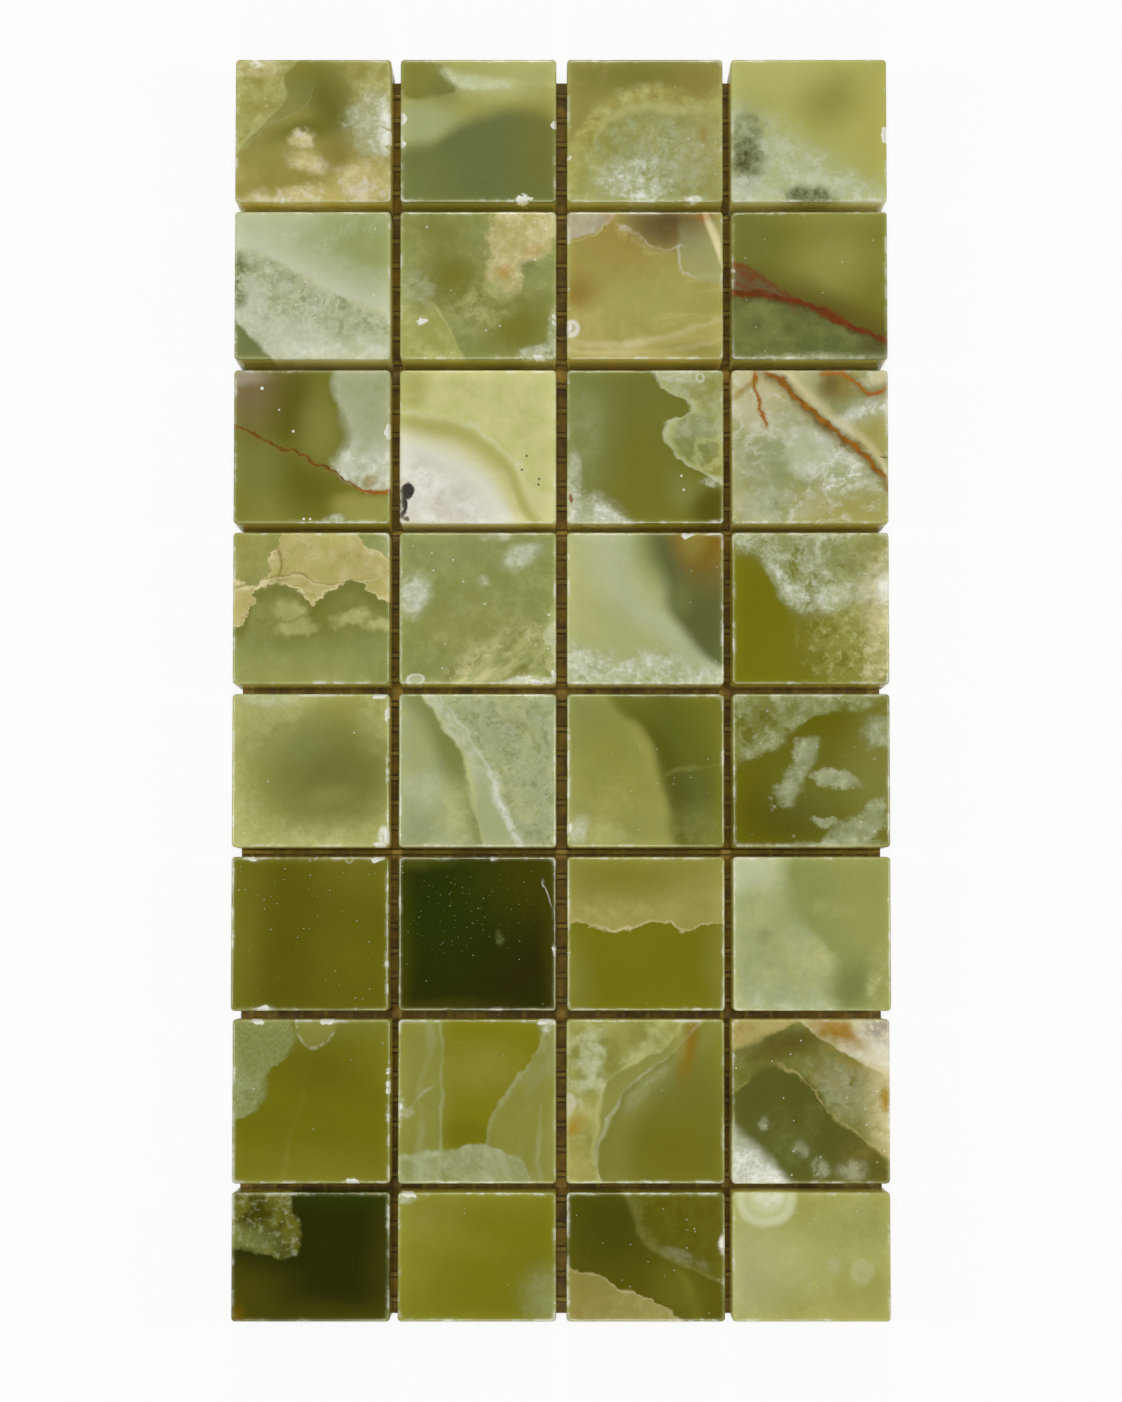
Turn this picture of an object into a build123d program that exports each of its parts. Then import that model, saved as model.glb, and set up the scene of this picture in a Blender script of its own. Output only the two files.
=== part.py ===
"""Net-backed mosaic sheet of polished onyx chips, lying flat with its net on the floor.

Millimetres, +Z up. +Y is towards the first row, +X towards the last column.
"""
import os

from build123d import *

# Stone chips: one width for all, a length for each row from the first to the last
CHIP_WIDTH = 25.0
CHIP_THICKNESS = 10.0
ROW_LENGTHS = (23.2, 23.9, 24.7, 24.3, 24.4, 24.4, 25.9, 20.3)
CORNER_RADIUS = 0.6
ARRIS_RADIUS = 0.4

# Open joints: below each row but the last, and between the columns of a row
ROW_JOINTS = (1.5, 1.7, 1.4, 1.5, 1.5, 1.3, 1.3)
COLUMN_JOINTS = (1.5, 1.7, 1.3)

# The last rows were laid a little tighter from side to side
TIGHT_ROWS = 2
TIGHT_JOINTS = (1.2, 1.6, 1.1)

# Backing net: flat yarns laid square across each other, the warps underneath and the wefts on top,
# held together by the film of dried glue that fills the openings between them
NET_PITCH = 4.0
YARN_WIDTH = 0.8
YARN_THICKNESS = 0.35
GLUE_THICKNESS = 0.1
NET_SIDE_INSET = 0.5
NET_FIRST_ROW_INSET = 0.8
NET_BANDS = 4

NET_THICKNESS = 2 * YARN_THICKNESS - GLUE_THICKNESS
ROWS = len(ROW_LENGTHS)
SHEET_LENGTH = sum(ROW_LENGTHS) + sum(ROW_JOINTS[: ROWS - 1])


def row_joints(row):
    """Joint widths between the chips of a row, counted from 0 at the first row."""
    return TIGHT_JOINTS if row >= ROWS - TIGHT_ROWS else COLUMN_JOINTS


def row_width(row):
    """Length of a whole row from its first chip's outer side to its last chip's."""
    return CHIP_WIDTH * (len(row_joints(row)) + 1) + sum(row_joints(row))


SHEET_WIDTH = max(row_width(row) for row in range(ROWS))


def row_middle(row):
    """Y of a row's middle line, with the sheet's middle at 0."""
    above = sum(ROW_LENGTHS[:row]) + sum(ROW_JOINTS[:row])
    return SHEET_LENGTH / 2 - above - ROW_LENGTHS[row] / 2


def chip_middle(row, column):
    """X of a chip's middle; a narrower row stands in the middle of the sheet."""
    before = CHIP_WIDTH * column + sum(row_joints(row)[:column])
    return before + CHIP_WIDTH / 2 - row_width(row) / 2


def chip(row, column):
    """One sawn and polished chip: sharp below, rounded upright corners, a soft arris on top."""
    block = Box(CHIP_WIDTH, ROW_LENGTHS[row], CHIP_THICKNESS, align=(Align.CENTER, Align.CENTER, Align.MIN))
    block = fillet(block.edges().filter_by(Axis.Z), CORNER_RADIUS)
    block = fillet(block.faces().sort_by(Axis.Z)[-1].edges(), ARRIS_RADIUS)
    return Pos(chip_middle(row, column), row_middle(row), NET_THICKNESS) * block


def yarn_places(length):
    """Middles of the parallel yarns laid across a length, spread evenly about its middle."""
    count = int((length - YARN_WIDTH) / NET_PITCH) + 1
    return [(i - (count - 1) / 2) * NET_PITCH for i in range(count)]


def net_band(number):
    """One band of the net, counted from 0 at the first row: both sets of yarns and the glue film."""
    width = SHEET_WIDTH - 2 * NET_SIDE_INSET
    length = SHEET_LENGTH - NET_FIRST_ROW_INSET
    wefts = [-y for y in yarn_places(length)]
    first = number * len(wefts) // NET_BANDS
    last = (number + 1) * len(wefts) // NET_BANDS
    high = length / 2 if number == 0 else wefts[first] + NET_PITCH / 2
    low = -length / 2 if number == NET_BANDS - 1 else wefts[last - 1] - NET_PITCH / 2
    film_height = YARN_THICKNESS - GLUE_THICKNESS
    standing = (Align.CENTER, Align.CENTER, Align.MIN)
    film = Box(width, high - low, GLUE_THICKNESS, align=standing)
    warp = Box(YARN_WIDTH, high - low, YARN_THICKNESS, align=standing)
    weft = Box(width, YARN_WIDTH, YARN_THICKNESS, align=standing)
    yarns = [Pos(x, (high + low) / 2, 0) * warp for x in yarn_places(width)]
    yarns += [Pos(0, y, film_height) * weft for y in wefts[first:last]]
    return Pos(0, -NET_FIRST_ROW_INSET / 2, 0) * (Pos(0, (high + low) / 2, film_height) * film + yarns)


os.makedirs("parts", exist_ok=True)
for row in range(ROWS):
    for column in range(len(row_joints(row)) + 1):
        export_step(chip(row, column), f"parts/chip_r{row + 1}_c{column + 1}.step")
for number in range(NET_BANDS):
    export_step(net_band(number), f"parts/net_band_{number + 1}.step")
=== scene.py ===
"""Looks of a net-backed sheet of polished green onyx mosaic chips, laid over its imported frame.

Every chip is a sawn block with a worn, softly rounded edge, and a figure of its own painted in
the stone; the net under them is one woven, glue-filled surface in four bands.
"""

import math

import bpy
import numpy as np
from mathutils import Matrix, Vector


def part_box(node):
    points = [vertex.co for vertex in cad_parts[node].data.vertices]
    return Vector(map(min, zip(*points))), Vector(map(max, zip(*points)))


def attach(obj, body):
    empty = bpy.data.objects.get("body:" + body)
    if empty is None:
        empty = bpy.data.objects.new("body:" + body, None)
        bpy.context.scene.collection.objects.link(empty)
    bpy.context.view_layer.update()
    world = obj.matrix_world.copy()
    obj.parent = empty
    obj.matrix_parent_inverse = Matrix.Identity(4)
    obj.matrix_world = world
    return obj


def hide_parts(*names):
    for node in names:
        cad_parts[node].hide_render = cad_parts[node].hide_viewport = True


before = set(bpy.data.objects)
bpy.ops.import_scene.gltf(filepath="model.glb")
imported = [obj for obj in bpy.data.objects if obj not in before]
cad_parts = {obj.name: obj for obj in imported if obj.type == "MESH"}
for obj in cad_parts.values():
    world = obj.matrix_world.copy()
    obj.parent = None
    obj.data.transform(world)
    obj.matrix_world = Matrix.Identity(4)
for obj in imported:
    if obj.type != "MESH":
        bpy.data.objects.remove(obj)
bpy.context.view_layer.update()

bl_info = {
    "name": "Onyx mosaic sheet",
    "version": (1, 0, 0),
    "blender": (4, 5, 0),
    "location": "View3D > Sidebar > Onyx",
    "description": "Dresses a net-backed sheet of onyx mosaic chips and its studio stage",
    "category": "Object",
}

MM = 0.001
# Colour of the painted glow given, as emission, to the upper part of each chip's sides.
SIDE_LIGHT = (0.24, 0.2, 0.08)
FLOOR_WHITE = 0.88
LAMP_REACH = 0.636
LAMP_WIDTH = 0.16
LAMP_LENGTH = 0.6
FLOOR_HALF = 3.0


def length(name, description, millimetres):
    """A length that a user may change, in metres inside and given here in millimetres."""
    return bpy.props.FloatProperty(
        name=name, description=description, default=millimetres * MM, min=0.0, unit="LENGTH", precision=5
    )


def tint(name, red, green, blue):
    """A colour that a user may change, given as it looks on a screen, each part from 0 to 255."""
    return bpy.props.FloatVectorProperty(
        name=name,
        description=f"The stone's or the net's {name.lower()} parts",
        subtype="COLOR_GAMMA",
        size=3,
        min=0.0,
        max=1.0,
        default=(red / 255, green / 255, blue / 255),
    )


class OnyxColours(bpy.types.PropertyGroup):
    """The palette that all the figures in the stone are painted from."""

    dark: tint("Dark", 44, 45, 2)
    bottle: tint("Bottle green", 38, 50, 2)
    deep: tint("Deep olive", 96, 92, 14)
    olive: tint("Olive", 118, 117, 40)
    gold: tint("Golden olive", 124, 121, 20)
    moss: tint("Moss", 104, 110, 60)
    fern: tint("Fern", 140, 146, 80)
    leaf: tint("Leaf", 164, 164, 88)
    citron: tint("Citron", 146, 144, 48)
    lime: tint("Lime", 196, 197, 130)
    straw: tint("Straw", 172, 164, 84)
    sage: tint("Sage", 170, 176, 126)
    mist: tint("Mist", 192, 197, 160)
    frost: tint("Frost", 212, 215, 190)
    snow: tint("Snow", 238, 238, 226)
    shell: tint("Shell", 212, 205, 190)
    cream: tint("Cream", 224, 213, 166)
    tan: tint("Tan", 192, 177, 110)
    ochre: tint("Ochre", 144, 122, 52)
    amber: tint("Amber", 152, 116, 6)
    rust: tint("Rust", 168, 98, 26)
    brick: tint("Brick", 120, 54, 22)
    umber: tint("Umber", 86, 68, 30)
    mauve: tint("Mauve", 130, 110, 80)
    ink: tint("Ink", 46, 36, 32)
    glue: tint("Glue", 156, 123, 22)
    yarn: tint("Yarn", 178, 152, 46)


class OnyxShape(bpy.types.PropertyGroup):
    """Sizes of the chips' worn edges and of the net's yarns."""

    arris: length("Arris", "Radius of the softened edge round a polished face", 0.4)
    corner: length("Corner", "Radius of a chip's upright corners", 0.6)
    nick: length("Stray nicks", "Depth of the deepest stray nick in an edge", 0.16)
    pitch: length("Net pitch", "Distance between neighbouring yarns", 4.0)
    yarn: length("Yarn width", "Width of a flattened yarn", 0.8)


class OnyxStage(bpy.types.PropertyGroup):
    """Camera and light of the studio stage."""

    height: length("Camera height", "Height of the lens above the floor", 453.6)
    back: length("Camera offset", "How far the lens stands back from the sheet's middle", 39.05)
    tilt: bpy.props.FloatProperty(
        name="Tilt",
        description="Lean of the view from straight down",
        default=math.radians(2.6),
        subtype="ANGLE",
    )
    lens: bpy.props.FloatProperty(
        name="Lens", description="Focal length for the 36 mm long side of the picture", default=71.77
    )
    shift: bpy.props.FloatProperty(
        name="Shift", description="Upward shift of the picture, as a share of its long side", default=0.0728
    )
    light: bpy.props.FloatProperty(
        name="Lamps", description="Power of each of the four soft lamps in watts", default=2.7, min=0.0
    )
    sky: bpy.props.FloatProperty(
        name="Sky", description="Strength of the even light from all round", default=0.04, min=0.0
    )


class OnyxSheet(bpy.types.PropertyGroup):
    """All that can be set on the sheet."""

    colours: bpy.props.PointerProperty(type=OnyxColours, name="Colours")
    shape: bpy.props.PointerProperty(type=OnyxShape, name="Shape")
    stage: bpy.props.PointerProperty(type=OnyxStage, name="Stage")


class Ex:
    """A shader value: one output socket that takes part in Python arithmetic.

    Single numbers go through Math nodes, vectors and colours through Vector Math nodes.
    """

    def __init__(self, socket):
        self.socket = socket

    def node(self, kind, settings, inputs, output=0):
        """Any other node of this tree: its type, its settings, then its sockets' values or links."""
        tree = self.socket.id_data
        made = tree.nodes.new(kind)
        for name, value in settings.items():
            setattr(made, name, value)
        for name, value in inputs.items():
            if isinstance(value, Ex):
                tree.links.new(value.socket, made.inputs[name])
            else:
                made.inputs[name].default_value = value
        return Ex(made.outputs[output])

    def maths(self, operation, first, second):
        """One sum of two values, either of which may be a plain number or tuple."""
        pair = (first, second)
        if all(v.socket.type == "VALUE" for v in pair if isinstance(v, Ex)):
            return self.node("ShaderNodeMath", {"operation": operation}, {0: first, 1: second})
        first, second = ((v, v, v) if isinstance(v, (int, float)) else v for v in pair)
        return self.node("ShaderNodeVectorMath", {"operation": operation}, {0: first, 1: second})

    def __add__(self, other):
        return self.maths("ADD", self, other)

    def __radd__(self, other):
        return self.maths("ADD", other, self)

    def __sub__(self, other):
        return self.maths("SUBTRACT", self, other)

    def __rsub__(self, other):
        return self.maths("SUBTRACT", other, self)

    def __mul__(self, other):
        return self.maths("MULTIPLY", self, other)

    def __rmul__(self, other):
        return self.maths("MULTIPLY", other, self)

    def __truediv__(self, other):
        return self.maths("DIVIDE", self, other)

    def __rtruediv__(self, other):
        return self.maths("DIVIDE", other, self)

    def __abs__(self):
        return self.maths("ABSOLUTE", self, 0.0)

    def most(self, other):
        """The larger of two values."""
        return self.maths("MAXIMUM", self, other)

    def least(self, other):
        """The smaller of two values."""
        return self.maths("MINIMUM", self, other)

    def step(self, start, end):
        """0 at start, 1 at end and smooth between; end may be the lower one."""
        settings = {"interpolation_type": "SMOOTHSTEP"}
        return self.node(
            "ShaderNodeMapRange", settings, {"Value": self, "From Min": start, "From Max": end}
        )

    def mix(self, first, second):
        """The first colour where this value is 0 and the second where it is 1."""
        return self.node("ShaderNodeMix", {"data_type": "RGBA"}, {0: self, 6: first, 7: second}, 2)

    def parts(self):
        """A vector's three numbers."""
        split = self.node("ShaderNodeSeparateXYZ", {}, {"Vector": self}).socket.node
        return [Ex(socket) for socket in split.outputs]

    def size(self):
        """A vector's length."""
        return self.node("ShaderNodeVectorMath", {"operation": "LENGTH"}, {0: self}, 1)

    def placed(self, place, turn, scale):
        """This vector seen from a frame with that place, turn in degrees and scale."""
        values = {"Vector": self, "Location": place, "Rotation": (0, 0, math.radians(turn)), "Scale": scale}
        return self.node("ShaderNodeMapping", {"vector_type": "TEXTURE"}, values)

    def noise(self, scale, detail, rough=0.55, output=0):
        """Soft noise at that many blots to the metre; output 1 gives three noises as a vector."""
        values = {"Vector": self, "Scale": scale, "Detail": detail, "Roughness": rough}
        return self.node("ShaderNodeTexNoise", {}, values, output)


def coordinates(tree):
    """The piece's own place in metres, in the frame of the whole sheet."""
    return Ex(tree.nodes.new("ShaderNodeTexCoord").outputs["Object"])


def linear(colours, name, tone=1.0):
    """A colour of the palette as the shaders take it, brighter or darker by a tone."""
    seen = np.array(getattr(colours, name))
    light = np.where(seen <= 0.04045, seen / 12.92, ((seen + 0.055) / 1.055) ** 2.4)
    return (*(light * tone), 1.0)


class Figure:
    """The figure of one chip, laid down in layers of colour under masks.

    Places on the chip are shares of its width and length: u to the right and v down the photograph.
    """

    def __init__(self, tree, colours, low, high):
        width, depth = high[0] - low[0], high[1] - low[1]
        self.colours = colours
        self.per_chip = 1 / width
        self.object = coordinates(tree)
        values = {
            "Vector": self.object,
            "Location": (-low[0] / width, high[1] / depth, high[2] / width),
            "Scale": (1 / width, -1 / depth, -1 / width),
        }
        plain = self.object.node("ShaderNodeMapping", {}, values)
        drift = self.object.noise(2.2 * self.per_chip, 2.0, output=1) - 0.5
        shiver = self.object.noise(11 * self.per_chip, 5.0, 0.62, 1) - 0.5
        self.vary = self.object.noise(3.4 * self.per_chip, 2.0).step(0.32, 0.68) * 1.6 + 0.2
        soft = plain + drift * 0.12
        self.places = {
            "plain": plain,
            "soft": soft,
            "wavy": soft + shiver * 0.05,
            "frilly": plain + shiver * 0.1,
            "ragged": plain + drift * 0.08 + shiver * 0.17,
        }
        self.stirred = self.object * self.per_chip + drift * 0.4 + shiver * 0.16
        self.curds = self.fog(20, 0.42, 0.6, 6.0)
        self.wisps = self.fog(6, 0.4, 0.6)
        self.axes = {}
        self.colour = None

    def across(self, how):
        """u and v as two numbers, shaken as how says."""
        if how not in self.axes:
            self.axes[how] = self.places[how].parts()[:2]
        return self.axes[how]

    def base(self, name, tone=1.0):
        """The colour of the whole chip before anything is laid on it."""
        self.colour = linear(self.colours, name, tone)

    def lay(self, name, mask, amount=1.0, tone=1.0):
        """A colour laid over the chip where a mask is 1, as strongly as amount says."""
        share = mask if amount == 1.0 else mask * amount
        self.colour = share.mix(self.colour, linear(self.colours, name, tone))

    def cloud(self, name, mask, amount=1.0, scale=7, tone=1.0):
        """A colour laid in curdled drifts of that many to the chip, where a mask is 1 or all over."""
        drifts = self.fog(scale, 0.36, 0.66) * (self.curds * 0.5 + 0.5)
        self.lay(name, drifts if mask is None else mask * drifts, amount, tone)

    def blob(self, u, v, ru, rv, turn=0, edge=0.4, how="wavy"):
        """An oval of those half-widths, turned anticlockwise; edge is how far it fades."""
        seen = self.places[how].placed((u, v, 0), -turn, (ru, rv, 4.0))
        return seen.size().step(1 + edge, 1 - edge)

    def rise(self, points, along, how):
        """How far v lies below a drawn curve over u, or u to the right of one down v."""
        value, other = self.across(how) if along == "u" else reversed(self.across(how))
        pairs = points if along == "u" else [(v, u) for u, v in points]
        drawn = value.node("ShaderNodeFloatCurve", {}, {"Value": value})
        mapping = drawn.socket.node.mapping
        mapping.use_clip = False
        curve = mapping.curves[0]
        curve.points[0].location = pairs[0]
        curve.points[1].location = pairs[-1]
        for x, y in pairs[1:-1]:
            curve.points.new(x, y)
        mapping.update()
        return other - drawn

    def below(self, points, edge=0.05, how="wavy"):
        """All that lies below a curve drawn from left to right, crisper in some places than others."""
        return (self.rise(points, "u", how) / self.vary).step(-edge, edge)

    def right(self, points, edge=0.05, how="wavy"):
        """All that lies to the right of a curve drawn from top to bottom."""
        return (self.rise(points, "v", how) / self.vary).step(-edge, edge)

    def fade(self, points, reach, along="u"):
        """All below or to the right of a curve, fading in evenly over a reach on either side."""
        return self.rise(points, along, "soft").step(-reach, reach)

    def band(self, points, reach, along="u"):
        """A soft band along a curve, strongest in its middle."""
        return abs(self.rise(points, along, "soft")).step(reach, 0.0)

    def clump(self, mask, scale, edge=0.25):
        """A soft mask broken by noise into ragged clumps, with a haze of it left round them."""
        broken = (mask * (self.stirred.noise(scale, 6.0, 0.6) * 6.0 - 2.0)).step(0.5 - edge, 0.5 + edge)
        return mask * (broken * 0.75 + 0.25) * (self.curds * 0.4 + 0.6)

    def line(self, gap, width):
        """A line that swells, thins and fades along its way."""
        return (abs(gap) / (self.vary * 0.6 + 0.4)).step(width, 0.0) * (self.vary * 0.45 + 0.15)

    def streak(self, points, width, how="wavy"):
        """Such a line along a curve drawn from left to right."""
        return self.line(self.rise(points, "u", how), width)

    def strand(self, points, width, how="wavy"):
        """Such a line along a curve drawn from top to bottom."""
        return self.line(self.rise(points, "v", how), width)

    def vein(self, points, width, along="u", how="frilly"):
        """An unbroken line with ragged sides."""
        return abs(self.rise(points, along, how)).step(width, width * 0.3)

    def upto(self, axis, start, end):
        """Nothing at start and all at end, along u or v."""
        return self.across("wavy")["uv".index(axis)].step(start, end)

    def ring(self, u, v, radius, width, stretch=1.0, how="soft"):
        """A thin ring about a place; stretch lengthens it down the chip."""
        seen = self.places[how].placed((u, v, 0), 0, (1.0, stretch, 9.0))
        return abs(seen.size() - radius).step(width, width * 0.2)

    def fog(self, scale, low, high, detail=4.0, turn=0, stretch=1.0):
        """Drifts of noise, nothing below low and full above high, drawn out along a turn."""
        place = self.object
        if stretch != 1.0:
            place = place.placed((0, 0, 0), turn, (stretch, 1.0, 1.0))
        return place.noise(scale * self.per_chip, detail, 0.6).step(low, high)

    def curl(self, scale, width=0.04):
        """Soft broken wisps, where noise that is itself stirred crosses its middle."""
        near = abs(self.stirred.noise(scale, 4.0) - 0.5).step(width * 2.4, 0.0)
        return near * near * self.wisps

    def specks(self, scale, radius, rare):
        """Stray dots; the nearer rare comes to 1, the fewer of them show."""
        values = {"Vector": self.object, "Scale": scale * self.per_chip}
        dots = self.object.node("ShaderNodeTexVoronoi", {}, values)
        chosen = Ex(dots.socket.node.outputs["Color"]).parts()[0].step(rare, rare + 0.02)
        return dots.step(radius, radius * 0.5) * chosen

    def finish(self):
        """Grain, a painted lighter rim, sides painted lighter with a painted glow standing in for light
        that comes through the stone, the edge line painted pale (partly rubbed frosted wear, partly a
        painted highlight) and the white of nicked edges.

        Gives the colour, the roughness and the painted glow (emission) of the upper part of the sides.
        """
        grain = self.object.noise(26 * self.per_chip, 5.0, 0.7)
        drift = self.object.noise(3.5 * self.per_chip, 3.0)
        u, v, depth = self.places["plain"].parts()
        # Painted light: the outer rim of the face is painted a little lighter, as if light came through the
        # stone near its edges.
        rim = abs(u - 0.5).most(abs(v - 0.5)).step(0.4, 0.5)
        # Painted light: the sides are painted lighter, towards straw, where light would come through the
        # stone.
        side = depth.step(0.015, 0.045)
        green = self.colour.parts()[1]
        colour = self.colour * (grain * 0.16 + drift * 0.16 + 0.84 + rim * 0.12)
        colour = (side * green.step(0.02, 0.18) * 0.5).mix(colour, linear(self.colours, "straw", 1.1))
        # Painted glow: emission from the upper part of the sides, standing in for light that comes through
        # the stone.
        glow = colour * (side * depth.step(0.34, 0.04)) * SIDE_LIGHT
        worn = self.object.node("ShaderNodeAttribute", {"attribute_name": "worn"}, {}, "Fac")
        bruise = self.object.node("ShaderNodeAttribute", {"attribute_name": "bruise"}, {}, "Fac")
        broken = (bruise * (grain * 1.9)).step(0.35, 0.8)
        flecks = self.object.noise(8 * self.per_chip, 4.0, 0.6).step(0.5, 0.6) * grain
        # On the arris rings the edge is painted pale lime with broken white flecks: partly the rubbed,
        # frosted wear of the edge and partly a painted highlight along it.
        rubbed_and_sheen = worn * (drift.step(0.36, 0.62) * 0.7 + 0.3)
        colour = (rubbed_and_sheen * 0.5).mix(colour, linear(self.colours, "lime"))
        colour = (rubbed_and_sheen * flecks * 1.3).mix(colour, linear(self.colours, "snow"))
        colour = (broken * 0.85).mix(colour, linear(self.colours, "snow"))
        return colour, broken * 0.35 + worn * 0.10 + 0.13, glow


FIGURES = {}


def figure(paint):
    """Keeps a chip's figure under the name of the chip."""
    FIGURES[paint.__name__] = paint
    return paint


def moved(points, across, down):
    """A drawn curve shifted across and down."""
    return [(u + across, v + down) for u, v in points]


@figure
def r1_c1(f):
    """A mottled yellow corner behind a pale crack, a smoky facet beside it and cream puffs below."""
    f.base("straw", 0.8)
    f.cloud("lime", f.blob(0.85, 0.14, 0.3, 0.24, edge=0.8), 0.8, 6)
    f.lay("olive", f.blob(0.5, 0.1, 0.2, 0.18, edge=0.8), 0.75, 1.1)
    f.lay("olive", f.blob(0.6, 0.34, 0.14, 0.22, 15, 0.8), 0.95, 0.84)
    f.lay("olive", f.blob(0.45, 0.5, 0.24, 0.07, 12, 0.8), 0.85, 0.9)
    f.cloud("tan", f.blob(0.14, 0.76, 0.3, 0.2, edge=0.8), 0.6, 6)
    f.cloud("olive", f.blob(0.12, 0.66, 0.2, 0.1, edge=0.8), 0.6, 6)
    crack = [
        (0.44, -0.05), (0.37, 0.05), (0.31, 0.14), (0.32, 0.26), (0.25, 0.36), (0.17, 0.47), (0.02, 0.62),
        (-0.2, 1),
    ]
    patch = 1 - f.right(crack, 0.03)
    f.lay("leaf", patch, 0.75, 0.95)
    f.cloud("lime", patch, 0.8, 9)
    f.cloud("ochre", patch, 0.35, 7)
    f.lay("cream", f.clump(f.blob(0.14, 0.07, 0.2, 0.06), 12), 0.5)
    f.lay("cream", patch * f.specks(17, 0.2, 0.5), 0.5)
    foot = [
        (0, 0.66), (0.1, 0.6), (0.2, 0.49), (0.33, 0.415), (0.45, 0.35), (0.5, 0.22), (0.56, 0), (1, -0.5)
    ]
    facet = f.right(crack, 0.02) * (1 - f.below(foot, 0.02, "frilly")) * f.upto("v", 0.06, 0.24)
    f.lay("moss", facet, 0.45, 1.5)
    f.lay("lime", f.streak(moved(foot, 0, -0.015), 0.02, "frilly") * facet, 0.3)
    f.lay("lime", f.strand(crack, 0.025), 0.55)
    right = f.clump(f.blob(0.88, 0.46, 0.18, 0.22, edge=0.7), 7)
    f.lay("mist", right, 0.8, 1.0)
    f.lay("snow", right * f.curl(5), 0.6)
    f.lay("snow", f.clump(f.blob(0.96, 0.5, 0.05, 0.16), 14), 0.7)
    f.lay("ochre", f.blob(0.5, 0.86, 0.5, 0.18, edge=0.7), 0.3, 1.1)
    puffs = f.blob(0.42, 0.57, 0.06, 0.05, 0, 0.7, "ragged").most(
        f.blob(0.48, 0.73, 0.12, 0.06, -15, 0.8, "ragged")
    )
    puffs = puffs.most(f.blob(0.8, 0.87, 0.2, 0.13, 14, 0.6, "ragged")).most(
        f.blob(0.5, 0.97, 0.4, 0.07, 4, 0.8, "ragged")
    )
    f.lay("tan", puffs, 0.7, 1.15)
    f.cloud("cream", puffs, 0.9, 6)
    f.lay("shell", puffs * f.curl(4), 0.7, 1.05)
    f.lay("ochre", f.blob(0.65, 0.7, 0.08, 0.1, edge=0.8), 0.5, 0.8)
    f.lay("snow", f.clump(f.blob(0.13, 0.04, 0.06, 0.02), 16), 0.7)


@figure
def r1_c2(f):
    """A pale swirl over a mossy lower half, with one dark cloud at the upper left."""
    f.base("leaf", 1.0)
    f.lay("lime", f.blob(0.92, 0.08, 0.4, 0.14, edge=0.8), 0.4)
    f.lay("straw", f.blob(0.95, 0.35, 0.2, 0.16, edge=0.8), 0.5)
    f.lay("sage", f.blob(0.1, 0.46, 0.26, 0.13, edge=0.7), 0.85)
    f.lay("lime", f.blob(0.6, 0.2, 0.32, 0.08, -6, 0.8), 0.5)
    shade = 1 - f.right([(0.29, 0), (0.31, 0.1), (0.37, 0.19), (0.3, 0.4), (0.3, 1)], 0.07, "wavy")
    shade = shade * (1 - f.below([(0, 0.26), (0.2, 0.28), (0.36, 0.23), (1, 0.2)], 0.07, "wavy"))
    f.lay("olive", shade, 0.8, 1.08)
    f.lay("moss", f.blob(0.3, 0.22, 0.1, 0.1, edge=0.8), 0.4, 1.1)
    swirl = [(0, -0.2), (0.3, 0.06), (0.4, 0.12), (0.6, 0.15), (1, 0.16)]
    f.lay("lime", f.streak(swirl, 0.05), 0.6)
    f.lay(
        "mist",
        f.clump(f.band(moved(swirl, 0, 0.03), 0.1) * f.blob(0.5, 0.13, 0.26, 0.14, edge=0.6), 7, 0.4),
        1.0,
        1.2,
    )
    edge = [
        (0, 0.62), (0.1, 0.6), (0.23, 0.57), (0.33, 0.5), (0.45, 0.42), (0.6, 0.37), (0.75, 0.36), (1, 0.42)
    ]
    f.lay("moss", f.fade(edge, 0.08), 0.97, 1.06)
    f.lay("sage", f.clump(f.band(moved(edge, 0, -0.06), 0.14) * f.upto("u", 0.5, 0.2), 6, 0.4), 0.45)
    f.lay("olive", f.blob(0.92, 0.62, 0.18, 0.34, edge=0.8), 0.55, 1.08)
    f.lay("fern", f.blob(0.08, 0.85, 0.22, 0.2, edge=0.8), 0.3)
    f.lay("snow", f.blob(0.785, 0.965, 0.05, 0.026, how="ragged", edge=0.2), 0.85)


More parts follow.
